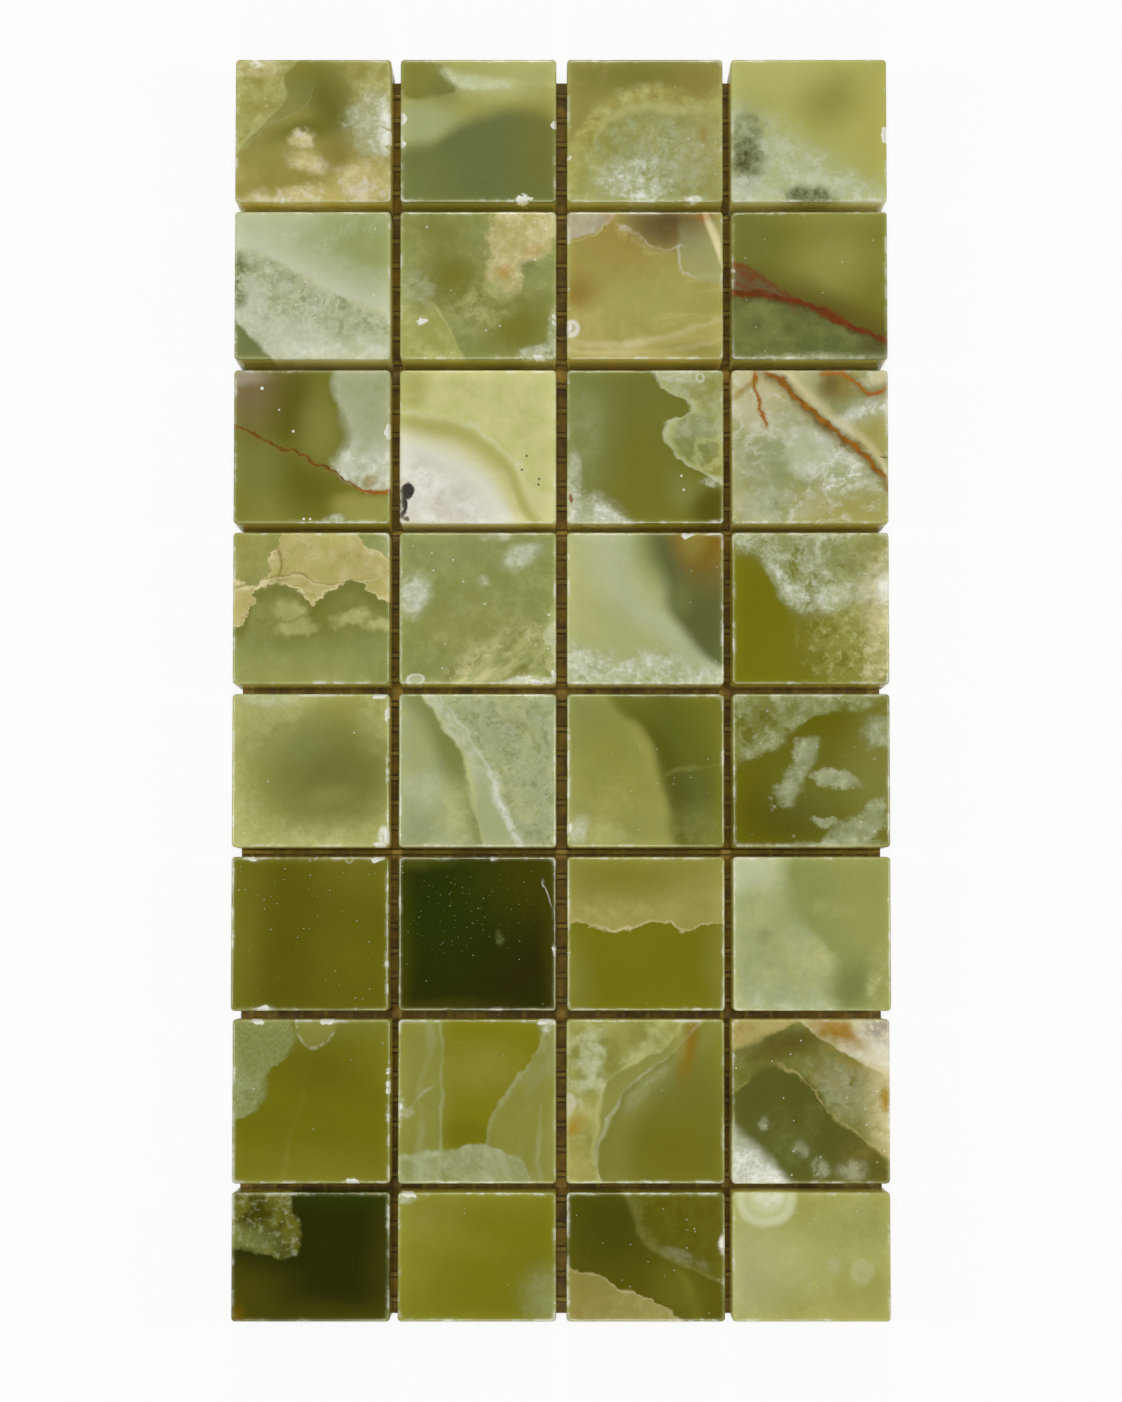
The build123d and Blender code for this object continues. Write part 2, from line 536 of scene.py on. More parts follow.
@figure
def r1_c3(f):
    """A fuzzy yellow arch across olive, over sage sown with white flecks."""
    f.base("straw", 0.72)
    f.lay("olive", f.blob(0.4, 0.1, 0.34, 0.12, edge=0.8), 0.85, 1.08)
    f.lay("ochre", f.blob(0.84, 0.15, 0.16, 0.1, edge=0.8), 0.45, 1.0)
    f.cloud("tan", f.blob(0.1, 0.05, 0.2, 0.1, edge=0.8), 0.5, 6)
    outer = [
        (0, 0.6), (0.05, 0.49), (0.12, 0.37), (0.28, 0.26), (0.51, 0.18), (0.7, 0.2), (0.84, 0.27),
        (1, 0.16),
    ]
    inner = [(0, 1.0), (0.14, 0.64), (0.18, 0.52), (0.29, 0.41), (0.51, 0.34), (0.76, 0.36), (1, 0.34)]
    f.lay("straw", f.clump(f.fade(outer, 0.05), 12), 0.8, 1.0)
    f.lay("fern", f.clump(f.fade(inner, 0.09), 9, 0.4), 0.85, 1.04)
    f.cloud("lime", f.band(moved(outer, 0, 0.07), 0.14), 0.8, 9)
    f.lay("cream", f.vein(moved(outer, 0, 0.03), 0.05) * f.specks(30, 0.3, 0.6), 0.4)
    f.lay("lime", f.streak(inner, 0.04), 0.5)
    f.cloud("olive", f.below(inner, 0.07), 0.3, 8, 1.1)
    f.cloud("sage", f.below(inner, 0.07), 0.7, 12)
    f.lay("straw", f.blob(0.95, 0.55, 0.16, 0.3, edge=0.8), 0.45, 0.9)
    f.lay("leaf", f.blob(0.06, 0.86, 0.16, 0.2, edge=0.7), 0.6)
    f.cloud("lime", f.blob(0.08, 0.84, 0.16, 0.18, edge=0.7), 0.8, 8)
    white = f.clump(f.blob(0.43, 0.86, 0.24, 0.16, 0, 0.7), 8)
    f.lay("mist", white, 0.65)
    f.cloud("snow", white, 0.8, 12)
    f.lay("frost", f.clump(f.blob(0.7, 0.68, 0.34, 0.24, 0, 0.8) * 0.7, 16), 0.4)
    f.lay("frost", f.blob(0.72, 0.7, 0.3, 0.24) * f.specks(22, 0.22, 0.7), 0.5)
    f.lay(
        "lime",
        f.strand(
            [(0.54, 0), (0.545, 0.5), (0.56, 0.62), (0.56, 1)], 0.014
        ) * f.upto("v", 0.66, 0.6) * f.upto("v", 0.44, 0.5),
        0.6,
    )
    f.lay("snow", f.clump(f.blob(0.81, 0.965, 0.06, 0.03), 14), 0.8)
    f.lay("rust", f.blob(0.885, 0.52, 0.02, 0.05, edge=0.8), 0.35)


@figure
def r1_c4(f):
    """Yellow-green with a brownish cloud, and fog with dark mottles below."""
    f.base("leaf", 1.15)
    f.lay("straw", f.blob(0.95, 0.4, 0.2, 0.35, edge=0.6), 0.4, 1.15)
    f.lay("olive", f.blob(0.64, 0.28, 0.18, 0.16, edge=0.8), 0.5, 1.15)
    f.lay("lime", f.blob(0.25, 0.1, 0.3, 0.14, edge=0.8), 0.35)
    fog = [(0, 0.3), (0.21, 0.4), (0.43, 0.53), (0.64, 0.68), (0.85, 0.84), (1, 0.95)]
    f.lay("sage", f.fade(fog, 0.18), 0.6, 1.08)
    f.lay("mist", f.fade(moved(fog, 0, 0.06), 0.2), 0.4)
    f.cloud("mist", f.below(fog, 0.2), 0.9, 5, 1.04)
    f.cloud("frost", f.below(moved(fog, 0, 0.1), 0.1), 0.5, 10)
    f.lay("frost", f.fade(fog, 0.06) * f.curl(5), 0.35)
    dark = f.blob(0.09, 0.66, 0.15, 0.3, edge=0.8, how="ragged").most(f.blob(0.5, 0.97, 0.2, 0.1, edge=0.6))
    f.lay("moss", f.clump(dark, 8, 0.4), 0.85, 1.0)
    f.lay("moss", f.clump(dark * dark, 11, 0.4), 0.75, 0.7)
    f.lay("umber", f.clump(f.blob(0.08, 0.7, 0.06, 0.09), 12), 0.5, 0.7)
    f.lay("frost", f.clump(f.blob(0.1, 0.9, 0.14, 0.1, edge=0.6), 10), 0.7)
    f.lay("frost", f.blob(0.9, 1.0, 0.1, 0.02, how="ragged"), 0.7)


@figure
def r2_c1(f):
    """A pale slanting band across sage, granular and crystalline below, dark green at the left."""
    f.base("sage", 1.0)
    f.lay("fern", f.blob(0.88, 0.2, 0.26, 0.26, edge=0.7), 0.65, 1.12)
    f.cloud("mist", f.blob(0.6, 0.1, 0.4, 0.16, 20, 0.7), 0.5, 5, 1.04)
    f.lay("mist", f.blob(0.12, 0.06, 0.28, 0.14, edge=0.7), 0.6, 1.06)
    lower = [(0, 0.24), (0.2, 0.3), (0.38, 0.42), (0.6, 0.54), (0.83, 0.63), (1, 0.72)]
    f.lay("frost", f.fade(moved(lower, 0, -0.12), 0.16), 0.75, 1.03)
    f.lay("mist", f.clump(f.band(moved(lower, 0, -0.2), 0.16), 5, 0.4), 0.4, 1.04)
    f.lay("sage", f.clump(f.below(lower, 0.05), 11), 0.85, 0.92)
    low = f.below(lower, 0.06)
    f.cloud("moss", low, 0.6, 14, 1.1)
    f.cloud("mist", low, 0.65, 8)
    f.lay("lime", f.streak(lower, 0.03), 0.4)
    f.lay("frost", low * f.curl(9), 0.5)
    white = f.blob(0.12, 0.64, 0.1, 0.18, edge=0.6).most(f.blob(0.36, 0.84, 0.28, 0.12, -20, 0.7))
    f.lay("frost", f.clump(white, 11), 0.75)
    f.lay("mist", f.blob(0.7, 0.95, 0.45, 0.1, edge=0.8), 0.7, 1.04)
    f.cloud("snow", f.blob(0.66, 0.95, 0.4, 0.1, edge=0.8), 0.6, 9)
    f.lay("moss", f.clump(f.blob(0.01, 0.46, 0.09, 0.2, 0, 0.5), 8), 0.9, 1.0)
    f.lay(
        "moss",
        f.below([(0, 0.7), (0.05, 0.78), (0.14, 0.88), (0.24, 0.98), (0.35, 1.1), (1, 1.3)], 0.02),
        0.92,
        1.15,
    )
    f.lay("snow", f.specks(16, 0.13, 0.65), 0.7)


@figure
def r2_c2(f):
    """Mottled olive with a tan crust at the upper right."""
    f.base("fern", 0.96)
    f.cloud("lime", None, 0.4, 4)
    f.lay("olive", f.blob(0.34, 0.47, 0.22, 0.2, edge=0.8), 0.9, 1.05)
    f.lay("olive", f.blob(0.76, 0.78, 0.22, 0.2, edge=0.8), 0.9, 1.05)
    f.lay("olive", f.blob(0.22, 0.1, 0.25, 0.14, edge=0.8), 0.5, 1.1)
    f.cloud("lime", f.blob(0.52, 0.63, 0.16, 0.14, 30, 0.8), 0.9, 5, 0.9)
    line = [(0.1, 0), (0.14, 0.45), (0.23, 0.6), (0.33, 0.79), (0.42, 1)]
    left = (1 - f.right(line, 0.03)) * f.upto("v", 0.5, 0.8)
    f.lay("leaf", left, 0.7, 1.05)
    f.cloud("lime", left, 0.6, 8)
    f.lay("lime", f.strand(line, 0.02) * f.upto("v", 0.55, 0.7), 0.7)
    f.lay("mist", f.clump(f.blob(0.13, 0.52, 0.15, 0.12, edge=0.8), 11, 0.4), 0.45)
    left = [(0.59, -0.05), (0.58, 0.12), (0.57, 0.22), (0.58, 0.36), (0.57, 0.46), (0.66, 0.53), (1.2, 1)]
    foot = [
        (0, 0.5), (0.57, 0.5), (0.66, 0.53), (0.76, 0.5), (0.8, 0.36), (0.86, 0.3), (0.93, 0.28), (1, 0.18)
    ]
    crust = f.right(left, 0.05, "ragged") * (1 - f.below(foot, 0.05, "ragged"))
    f.lay("tan", crust, 0.75, 1.02)
    f.cloud("cream", crust, 0.8, 8)
    f.cloud("leaf", crust, 0.65, 6)
    f.lay("cream", crust * f.curl(6), 0.7)
    f.lay("cream", f.strand(moved(left, 0.012, 0), 0.02, "ragged") * crust, 0.5)
    f.lay(
        "rust",
        f.clump(f.blob(0.66, 0.42, 0.07, 0.05).most(f.blob(0.86, 0.26, 0.07, 0.04, 20)), 10, 0.4),
        0.3,
        1.4,
    )
    f.lay("moss", f.blob(0.82, 0.38, 0.06, 0.05, 30, 0.7), 0.5)
    f.lay("snow", f.blob(0.13, 0.73, 0.035, 0.024, how="ragged", edge=0.3), 0.9)
    f.lay("frost", f.clump(f.blob(0.9, 0.95, 0.14, 0.07), 9), 0.7)
    f.lay("mist", f.clump(f.blob(0.99, 0.78, 0.05, 0.14), 9), 0.7)
    f.lay("snow", f.specks(13, 0.12, 0.7), 0.6)


@figure
def r2_c3(f):
    """A translucent brown corner behind pale cracks, a sage facet and cream bands flowing below."""
    f.base("straw", 0.92)
    f.lay("leaf", f.blob(0.5, 0.62, 0.3, 0.16, edge=0.9), 0.8, 1.02)
    f.cloud("tan", None, 0.35, 4)
    f.lay("ochre", f.blob(0.32, 0.2, 0.24, 0.16, -30, 0.9), 0.6, 1.2)
    f.lay("ochre", f.blob(0.08, 0.42, 0.2, 0.16, -30, 0.9), 0.35, 1.15)
    brown = f.blob(0.64, 0.05, 0.26, 0.19, -8, 0.7)
    f.lay("mauve", brown, 0.75, 0.9)
    f.lay("umber", f.blob(0.65, 0.06, 0.2, 0.14, -8, 0.9), 0.8, 1.05)
    f.cloud("ochre", brown, 0.6, 6)
    rim = [(0.26, -0.05), (0.27, 0.06), (0.21, 0.14), (0.1, 0.19), (-0.02, 0.23), (-0.2, 1)]
    pale = 1 - f.right(rim, 0.03)
    f.lay("shell", pale, 0.55, 0.85)
    f.cloud("frost", pale, 0.7, 6)
    f.cloud("mauve", pale, 0.4, 5, 1.2)
    f.lay("cream", f.strand(rim, 0.025, "frilly"), 0.6)
    f.lay("rust", f.blob(0.25, 0.05, 0.02, 0.05, 0, 0.8), 0.3)
    crack = [
        (0, -0.2), (0.27, 0.02), (0.33, 0.09), (0.44, 0.15), (0.52, 0.22), (0.62, 0.26), (0.72, 0.24),
        (1, 0.2),
    ]
    f.lay(
        "tan", f.clump(f.band(moved(crack, 0, 0.04), 0.1) * f.blob(0.45, 0.2, 0.24, 0.2), 9, 0.4), 0.5, 1.05
    )
    f.lay(
        "shell", f.streak(crack, 0.018, "frilly") * f.upto("u", 0.26, 0.34) * f.upto("u", 0.78, 0.72), 0.7
    )
    lobe = [(0.7, 0), (0.715, 0.2), (0.725, 0.32), (0.75, 0.41), (0.82, 0.46), (1.0, 0.49), (1.4, 1)]
    facet = f.right(lobe, 0.02) * (
        1 - f.below([(0, 0.5), (0.75, 0.46), (0.9, 0.48), (1, 0.46)], 0.03)
    ) * f.upto("v", 0.02, 0.2)
    f.lay("sage", facet, 0.5, 0.86)
    f.lay("shell", f.strand(lobe, 0.018, "frilly") * f.upto("v", 0.2, 0.28), 0.8)
    wedge = f.right([(0.87, 0), (0.88, 0.06), (0.93, 0.2), (0.985, 0.36), (1.2, 1)], 0.01, "plain")
    wedge = wedge * (
        1 - f.right([(0.9, 0), (0.92, 0.05), (0.975, 0.18), (1.0, 0.36), (1.2, 1)], 0.015, "plain")
    )
    f.lay("cream", wedge, 0.85, 1.05)
    f.lay("rust", f.blob(0.88, 0.03, 0.05, 0.03, edge=0.8), 0.5)
    f.lay("ochre", f.blob(0.04, 0.55, 0.13, 0.1, edge=0.9), 0.85, 0.95)
    f.cloud("amber", f.blob(0.04, 0.56, 0.08, 0.06, edge=0.8), 0.6, 6)
    f.lay("lime", f.blob(0.8, 0.6, 0.3, 0.14, 8, 0.7) * f.fog(9, 0.46, 0.66, turn=8, stretch=6), 0.75)
    f.cloud("tan", f.blob(0.15, 0.75, 0.25, 0.14, -8, 0.9), 0.6, 4)
    flow = [(0, 0.86), (0.2, 0.9), (0.42, 0.92), (0.62, 0.87), (0.8, 0.81), (1, 0.72)]
    f.lay("tan", f.fade(flow, 0.05), 0.5)
    f.lay("cream", f.streak(flow, 0.05), 0.7)
    f.lay("cream", f.streak([(0, 0.93), (0.3, 0.97), (0.6, 0.96), (1, 0.86)], 0.03), 0.5)
    f.lay("olive", f.blob(0.85, 0.95, 0.2, 0.05, edge=0.8), 0.5, 1.15)
    f.lay("shell", f.blob(0.036, 0.8, 0.045, 0.05), 0.45)
    f.lay("snow", f.ring(0.036, 0.8, 0.045, 0.025), 0.6)


@figure
def r2_c4(f):
    """A forked brick-red vein across olive, glowing above it and grey-green below."""
    f.base("olive", 1.1)
    f.lay("leaf", f.blob(0.66, 0.32, 0.24, 0.2, edge=0.9), 0.75, 0.92)
    f.lay("leaf", f.blob(0.7, 0.02, 0.4, 0.1, edge=0.8), 0.45, 0.9)
    f.lay("moss", f.blob(0.06, 0.2, 0.25, 0.25, edge=0.8), 0.4, 1.1)
    vein = [
        (0, 0.556), (0.16, 0.564), (0.33, 0.594), (0.445, 0.617), (0.587, 0.684), (0.7, 0.744),
        (0.84, 0.81), (1, 0.88),
    ]
    f.lay("umber", f.band(moved(vein, 0, -0.02), 0.26), 0.6, 0.95)
    f.lay("moss", f.below(vein, 0.015), 0.92, 0.92)
    f.cloud("fern", f.below(vein, 0.03), 0.6, 5, 0.9)
    upper = [(0, 0.35), (0.08, 0.376), (0.205, 0.45), (0.32, 0.526), (0.42, 0.594), (1, 0.8)]
    left = f.upto("u", 0.5, 0.4)
    f.lay("mauve", f.below(upper, 0.03) * (1 - f.below(vein, 0.01)) * left, 0.6, 0.7)
    f.lay("brick", f.vein(upper, 0.022) * left, 0.5)
    f.cloud("brick", f.band(moved(upper, 0, 0.05), 0.1) * left, 0.9, 9)
    f.lay(
        "brick", f.vein([(0, 0.47), (0.13, 0.53), (0.33, 0.57), (0.5, 0.64), (1, 0.8)], 0.018) * left, 0.5
    )
    f.lay("umber", f.vein(moved(vein, 0, 0.012), 0.045), 0.5, 0.7)
    f.lay("brick", f.vein(vein, 0.026), 0.95)
    f.lay("brick", f.blob(0.65, 0.71, 0.12, 0.035, -30, 0.5, "frilly"), 0.9)
    f.cloud("rust", f.vein(vein, 0.03), 0.25, 12, 0.8)
    f.cloud("umber", f.vein(vein, 0.03), 0.6, 14, 0.6)
    f.lay("fern", f.ring(0.16, 0.76, 0.1, 0.09, how="wavy"), 0.3)
    f.lay("fern", f.ring(0.36, 0.8, 0.07, 0.06, how="wavy"), 0.15)
    f.lay("umber", f.blob(0.93, 0.92, 0.1, 0.06, edge=0.8), 0.4)
    f.lay("mist", f.clump(f.blob(0.5, 1.0, 0.5, 0.04, edge=0.8), 12), 0.5)
    f.lay("frost", f.specks(16, 0.12, 0.75), 0.5)


@figure
def r3_c1(f):
    """A pale cloud down the right side, mauve at the upper left and a rusty vein across."""
    f.base("olive", 1.0)
    f.lay("mauve", f.blob(0.06, 0.12, 0.3, 0.24, edge=0.8), 0.75, 1.0)
    f.lay("shell", f.blob(0.05, 0.04, 0.14, 0.05, edge=0.7), 0.3)
    f.lay("deep", f.blob(0.38, 0.24, 0.13, 0.3, edge=0.8), 0.75, 0.92)
    f.lay("leaf", f.blob(0.54, 0.42, 0.11, 0.24, edge=0.8), 0.5, 0.82)
    f.lay("fern", f.blob(0.1, 0.62, 0.22, 0.16, edge=0.8), 0.5, 0.9)
    f.lay("leaf", f.blob(0.2, 0.9, 0.2, 0.12, edge=0.9), 0.4, 0.85)
    f.lay("deep", f.blob(0.46, 0.76, 0.16, 0.16, edge=0.8), 0.6, 0.95)
    vein = [
        (0, 0.36), (0.13, 0.425), (0.29, 0.51), (0.41, 0.54), (0.53, 0.61), (0.63, 0.65), (0.72, 0.73),
        (0.85, 0.79), (1, 0.79),
    ]
    edge = [
        (0.67, 0), (0.64, 0.15), (0.69, 0.31), (0.72, 0.48), (0.64, 0.58), (0.64, 0.66), (0.8, 0.78),
        (1.1, 0.85), (1.3, 1),
    ]
    cloud = f.right(edge, 0.04) * (1 - f.below(vein, 0.02))
    f.lay("mist", cloud, 0.8, 0.9)
    f.cloud("fern", cloud, 0.55, 4, 1.1)
    low = cloud * f.fade([(0, 0.5), (0.7, 0.48), (1, 0.5)], 0.1)
    f.lay("frost", f.clump(low, 9), 0.55)
    f.cloud("snow", low, 0.7, 11)
    f.cloud("frost", f.strand(moved(edge, 0.03, 0), 0.06) * cloud, 0.6, 10)
    f.lay("leaf", f.blob(0.86, 0.91, 0.22, 0.1, edge=0.5), 0.75, 1.0)
    f.lay("straw", f.blob(0.74, 0.86, 0.12, 0.07, edge=0.7), 0.4, 0.9)
    f.lay("ochre", f.blob(0.88, 0.735, 0.065, 0.055, edge=0.5), 0.6, 1.1)
    f.lay("frost", f.ring(0.88, 0.735, 0.07, 0.025, 0.85), 0.4)
    f.lay("ochre", f.vein(moved(vein, 0, 0.006), 0.035), 0.4, 0.9)
    f.lay("rust", f.vein(vein, 0.012), 0.8, 0.6)
    f.cloud("umber", f.vein(vein, 0.016), 0.8, 12, 0.7)
    f.lay("rust", f.vein(vein, 0.018) * f.upto("u", 0.7, 0.85), 0.7, 1.1)
    for u, v, r in (
        (0.18, 0.12, 0.01), (0.29, 0.26, 0.006), (0.38, 0.4, 0.008), (0.45, 0.97, 0.008),
        (0.49, 0.97, 0.007),
    ):
        f.lay("snow", f.blob(u, v, r, r, how="plain"), 0.95)
    f.lay("frost", f.clump(f.blob(0.64, 0.97, 0.06, 0.03), 14), 0.7)


@figure
def r3_c2(f):
    """Lime green round an arc, turning cream and lilac at the lower left, with one ink spot."""
    f.base("lime", 1.06)
    f.lay("leaf", f.blob(0.04, 0.1, 0.14, 0.2, edge=0.5), 0.75, 1.06)
    f.cloud("cream", None, 0.35, 9)
    f.cloud("leaf", None, 0.35, 5, 1.15)
    arc = [
        (0, 0.27), (0.14, 0.28), (0.32, 0.31), (0.47, 0.38), (0.61, 0.49), (0.74, 0.61), (0.84, 0.77),
        (1, 0.82),
    ]
    green = [
        (0, 0.33), (0.2, 0.37), (0.36, 0.41), (0.54, 0.51), (0.69, 0.64), (0.78, 0.84), (0.86, 1.0),
        (1, 1.2),
    ]
    f.lay("cream", f.fade(arc, 0.04), 0.3, 1.05)
    f.lay("leaf", f.band(green, 0.14), 0.8, 1.08)
    f.lay("lime", f.band(arc, 0.06), 0.5, 1.15)
    f.lay("frost", f.streak(arc, 0.025, "ragged"), 0.45)
    pale = [(0, 0.4), (0.2, 0.47), (0.38, 0.54), (0.53, 0.64), (0.66, 0.8), (0.76, 1.0), (1, 1.3)]
    f.lay("cream", f.fade(pale, 0.1), 0.4, 1.1)
    f.lay("frost", f.fade(pale, 0.1), 0.6, 1.02)
    f.lay("snow", f.fade(moved(pale, 0, 0.04), 0.1), 0.55, 0.95)
    core = [(0, 0.56), (0.25, 0.64), (0.43, 0.75), (0.55, 0.88), (0.64, 1.04), (1, 1.4)]
    f.lay("shell", f.fade(core, 0.12), 0.75, 0.98)
    f.cloud("mauve", f.fade(core, 0.1), 0.2, 8, 1.5)
    f.cloud("snow", f.fade(core, 0.1), 0.6, 9)
    f.lay("snow", f.fade(core, 0.08) * f.curl(4), 0.6)
    f.lay("snow", f.ring(0.19, 0.74, 0.07, 0.03, how="wavy"), 0.4)
    spot = f.blob(0.06, 0.8, 0.045, 0.05, 30, 0.15).most(f.blob(0.035, 0.87, 0.03, 0.07, 0, 0.2))
    f.lay("ink", spot.most(f.blob(0.02, 0.93, 0.02, 0.04, 0, 0.4)), 0.96)
    f.lay("umber", f.blob(0.054, 0.965, 0.02, 0.016), 0.9)
    for u, v in ((0.81, 0.56), (0.78, 0.65), (0.89, 0.71), (0.887, 0.746)):
        f.lay("ink", f.blob(u, v, 0.008, 0.008, how="plain"), 0.8)


@figure
def r3_c3(f):
    """Olive with pale-rimmed lobes on the right and a frosty wedge at the lower left."""
    f.base("olive", 1.05)
    f.lay("moss", f.blob(0.3, 0.3, 0.5, 0.5, edge=0.9), 0.35, 1.1)
    f.lay("fern", f.blob(0.04, 0.4, 0.24, 0.45, edge=0.8), 0.8, 0.9)
    f.lay("mist", f.clump(f.blob(0.1, 0.38, 0.14, 0.3, edge=0.8) * 0.75, 7, 0.4), 0.25)
    f.lay("gold", f.blob(0.44, 0.6, 0.16, 0.3, edge=0.9), 0.3)
    edge = [
        (0.55, -0.02), (0.6, 0.09), (0.7, 0.17), (0.77, 0.2), (0.81, 0.265), (0.71, 0.316), (0.65, 0.35),
        (0.63, 0.425), (0.675, 0.53), (0.77, 0.61), (0.885, 0.68), (1.0, 0.74), (1.4, 1),
    ]
    lobes = f.right(edge, 0.016, "frilly")
    f.lay("leaf", lobes, 0.7, 0.95)
    f.lay("fern", lobes * f.blob(0.82, 0.46, 0.14, 0.16, edge=0.6), 0.8, 0.85)
    f.cloud("mist", lobes, 0.6, 6)
    f.lay("lime", f.strand(moved(edge, 0.02, 0), 0.045, "frilly"), 0.6)
    f.lay("mist", f.strand(edge, 0.022, "frilly"), 0.8)
    f.lay("frost", f.clump(f.blob(0.68, 0.04, 0.12, 0.05), 9), 0.6)
    f.lay("lime", f.ring(0.91, 0.54, 0.09, 0.03, how="ragged"), 0.5)
    f.lay("frost", f.ring(0.84, 0.05, 0.026, 0.014), 0.6)
    wedge = f.fade([(0, 0.74), (0.15, 0.8), (0.31, 0.876), (0.45, 1.0), (1, 1.4)], 0.08)
    f.lay("mist", f.clump(wedge, 7), 0.8, 0.95)
    f.cloud("snow", wedge, 0.8, 9)
    f.lay("frost", f.clump(f.blob(0.04, 0.65, 0.06, 0.14), 10), 0.5)
    f.lay("brick", f.blob(0.016, 0.83, 0.014, 0.03), 0.8)
    f.lay("fern", f.blob(0.76, 0.8, 0.1, 0.14, 40, 0.8), 0.45)
    f.lay("deep", f.blob(0.94, 0.92, 0.16, 0.14, 40, 0.6), 0.85, 0.72)
    f.lay("frost", f.clump(f.blob(0.95, 0.72, 0.1, 0.04), 11), 0.6)
    for u, v in ((0.73, 0.69), (0.745, 0.78)):
        f.lay("snow", f.blob(u, v, 0.007, 0.007, how="plain"), 0.9)


@figure
def r3_c4(f):
    """Pale mottled sage and cream with a thick rusty vein across and two lesser ones."""
    f.base("sage", 0.8)
    f.cloud("moss", None, 0.5, 5, 1.3)
    f.lay("cream", f.blob(0.1, 0.12, 0.35, 0.2, edge=0.8), 0.55, 0.95)
    f.cloud("cream", None, 0.35, 4)
    f.cloud("straw", None, 0.5, 6, 0.95)
    f.lay("straw", f.blob(0.92, 0.46, 0.14, 0.14, edge=0.6), 0.75, 0.92)
    f.lay("straw", f.blob(0.78, 0.92, 0.34, 0.14, edge=0.7), 0.75, 0.95)
    f.lay("sage", f.blob(0.2, 0.62, 0.2, 0.2, edge=0.8), 0.5, 0.85)
    f.lay("snow", f.curl(4), 0.4, 0.95)
    f.lay("frost", f.clump(f.blob(0.2, 0.32, 0.3, 0.1, -20, 0.8), 8), 0.35)
    mass = f.blob(0.5, 0.53, 0.16, 0.17, 10, 0.35, "ragged")
    f.lay("mist", mass, 0.9, 1.0)
    f.cloud("moss", mass, 0.3, 8, 1.4)
    f.cloud("snow", mass, 0.6, 5)
    fan = f.clump(f.blob(0.69, 0.68, 0.15, 0.18, 30, 0.5), 9)
    f.lay("mist", fan, 0.6)
    f.lay("snow", fan * f.curl(8), 0.8)
    f.lay(
        "snow",
        f.clump(
            f.band([(0, 0.6), (0.65, 0.36), (0.85, 0.27), (1, 0.22)], 0.13) * f.upto("u", 0.55, 0.75), 6
        ),
        0.75,
        0.95,
    )
    f.lay("frost", f.clump(f.blob(0.3, 0.88, 0.3, 0.12), 8), 0.35)
    f.lay("ochre", f.blob(0.68, 0.1, 0.12, 0.1, edge=0.6), 0.75, 1.0)
    f.lay("umber", f.blob(0.63, 0.09, 0.05, 0.08, edge=0.8), 0.5, 1.1)
    vein = [
        (0, -0.3), (0.215, 0.01), (0.32, 0.08), (0.42, 0.19), (0.55, 0.3), (0.68, 0.415), (0.82, 0.53),
        (0.91, 0.62), (1, 0.75),
    ]
    f.lay("cream", f.band(moved(vein, 0, -0.08), 0.08), 0.5)
    f.lay("ochre", f.band(moved(vein, 0, 0.02), 0.09), 0.7, 0.75)
    f.lay("umber", f.vein(moved(vein, 0, 0.012), 0.04, "u", "ragged"), 0.4, 1.0)
    f.lay("rust", f.vein(vein, 0.028), 0.9, 0.95)
    f.cloud("umber", f.vein(vein, 0.036), 0.8, 12)
    f.cloud("amber", f.vein(vein, 0.03), 0.5, 9, 1.2)
    left = [(0.15, 0), (0.16, 0.15), (0.19, 0.27), (0.215, 0.37), (0.3, 1)]
    f.lay("amber", f.vein(left, 0.03, "v") * f.upto("v", 0.42, 0.3), 0.45)
    f.lay("rust", f.vein(left, 0.013, "v") * f.upto("v", 0.4, 0.34), 0.9, 0.95)
    f.lay(
        "amber", f.band([(0, 0.18), (0.08, 0.12), (0.16, 0.06), (1, 0)], 0.05) * f.upto("u", 0.2, 0.14), 0.6
    )
    bow = [(0, 0.02), (0.595, 0.02), (0.72, 0.03), (0.82, 0.11), (0.88, 0.157), (1, 0.1)]
    side = f.upto("u", 0.54, 0.6)
    f.lay("ochre", f.band(bow, 0.08) * side, 0.6, 0.8)
    f.lay("rust", f.vein(bow, 0.022) * side, 0.9, 1.0)
    f.cloud("amber", f.vein(bow, 0.02) * side, 0.5, 9, 1.1)
    f.lay("cream", f.blob(0.93, 0.05, 0.08, 0.04, 20, 0.6), 0.6)
    f.lay("umber", f.vein([(0, 0.6), (0.9, 0.56), (1, 0.57)], 0.01) * f.upto("u", 0.92, 0.96), 0.8)


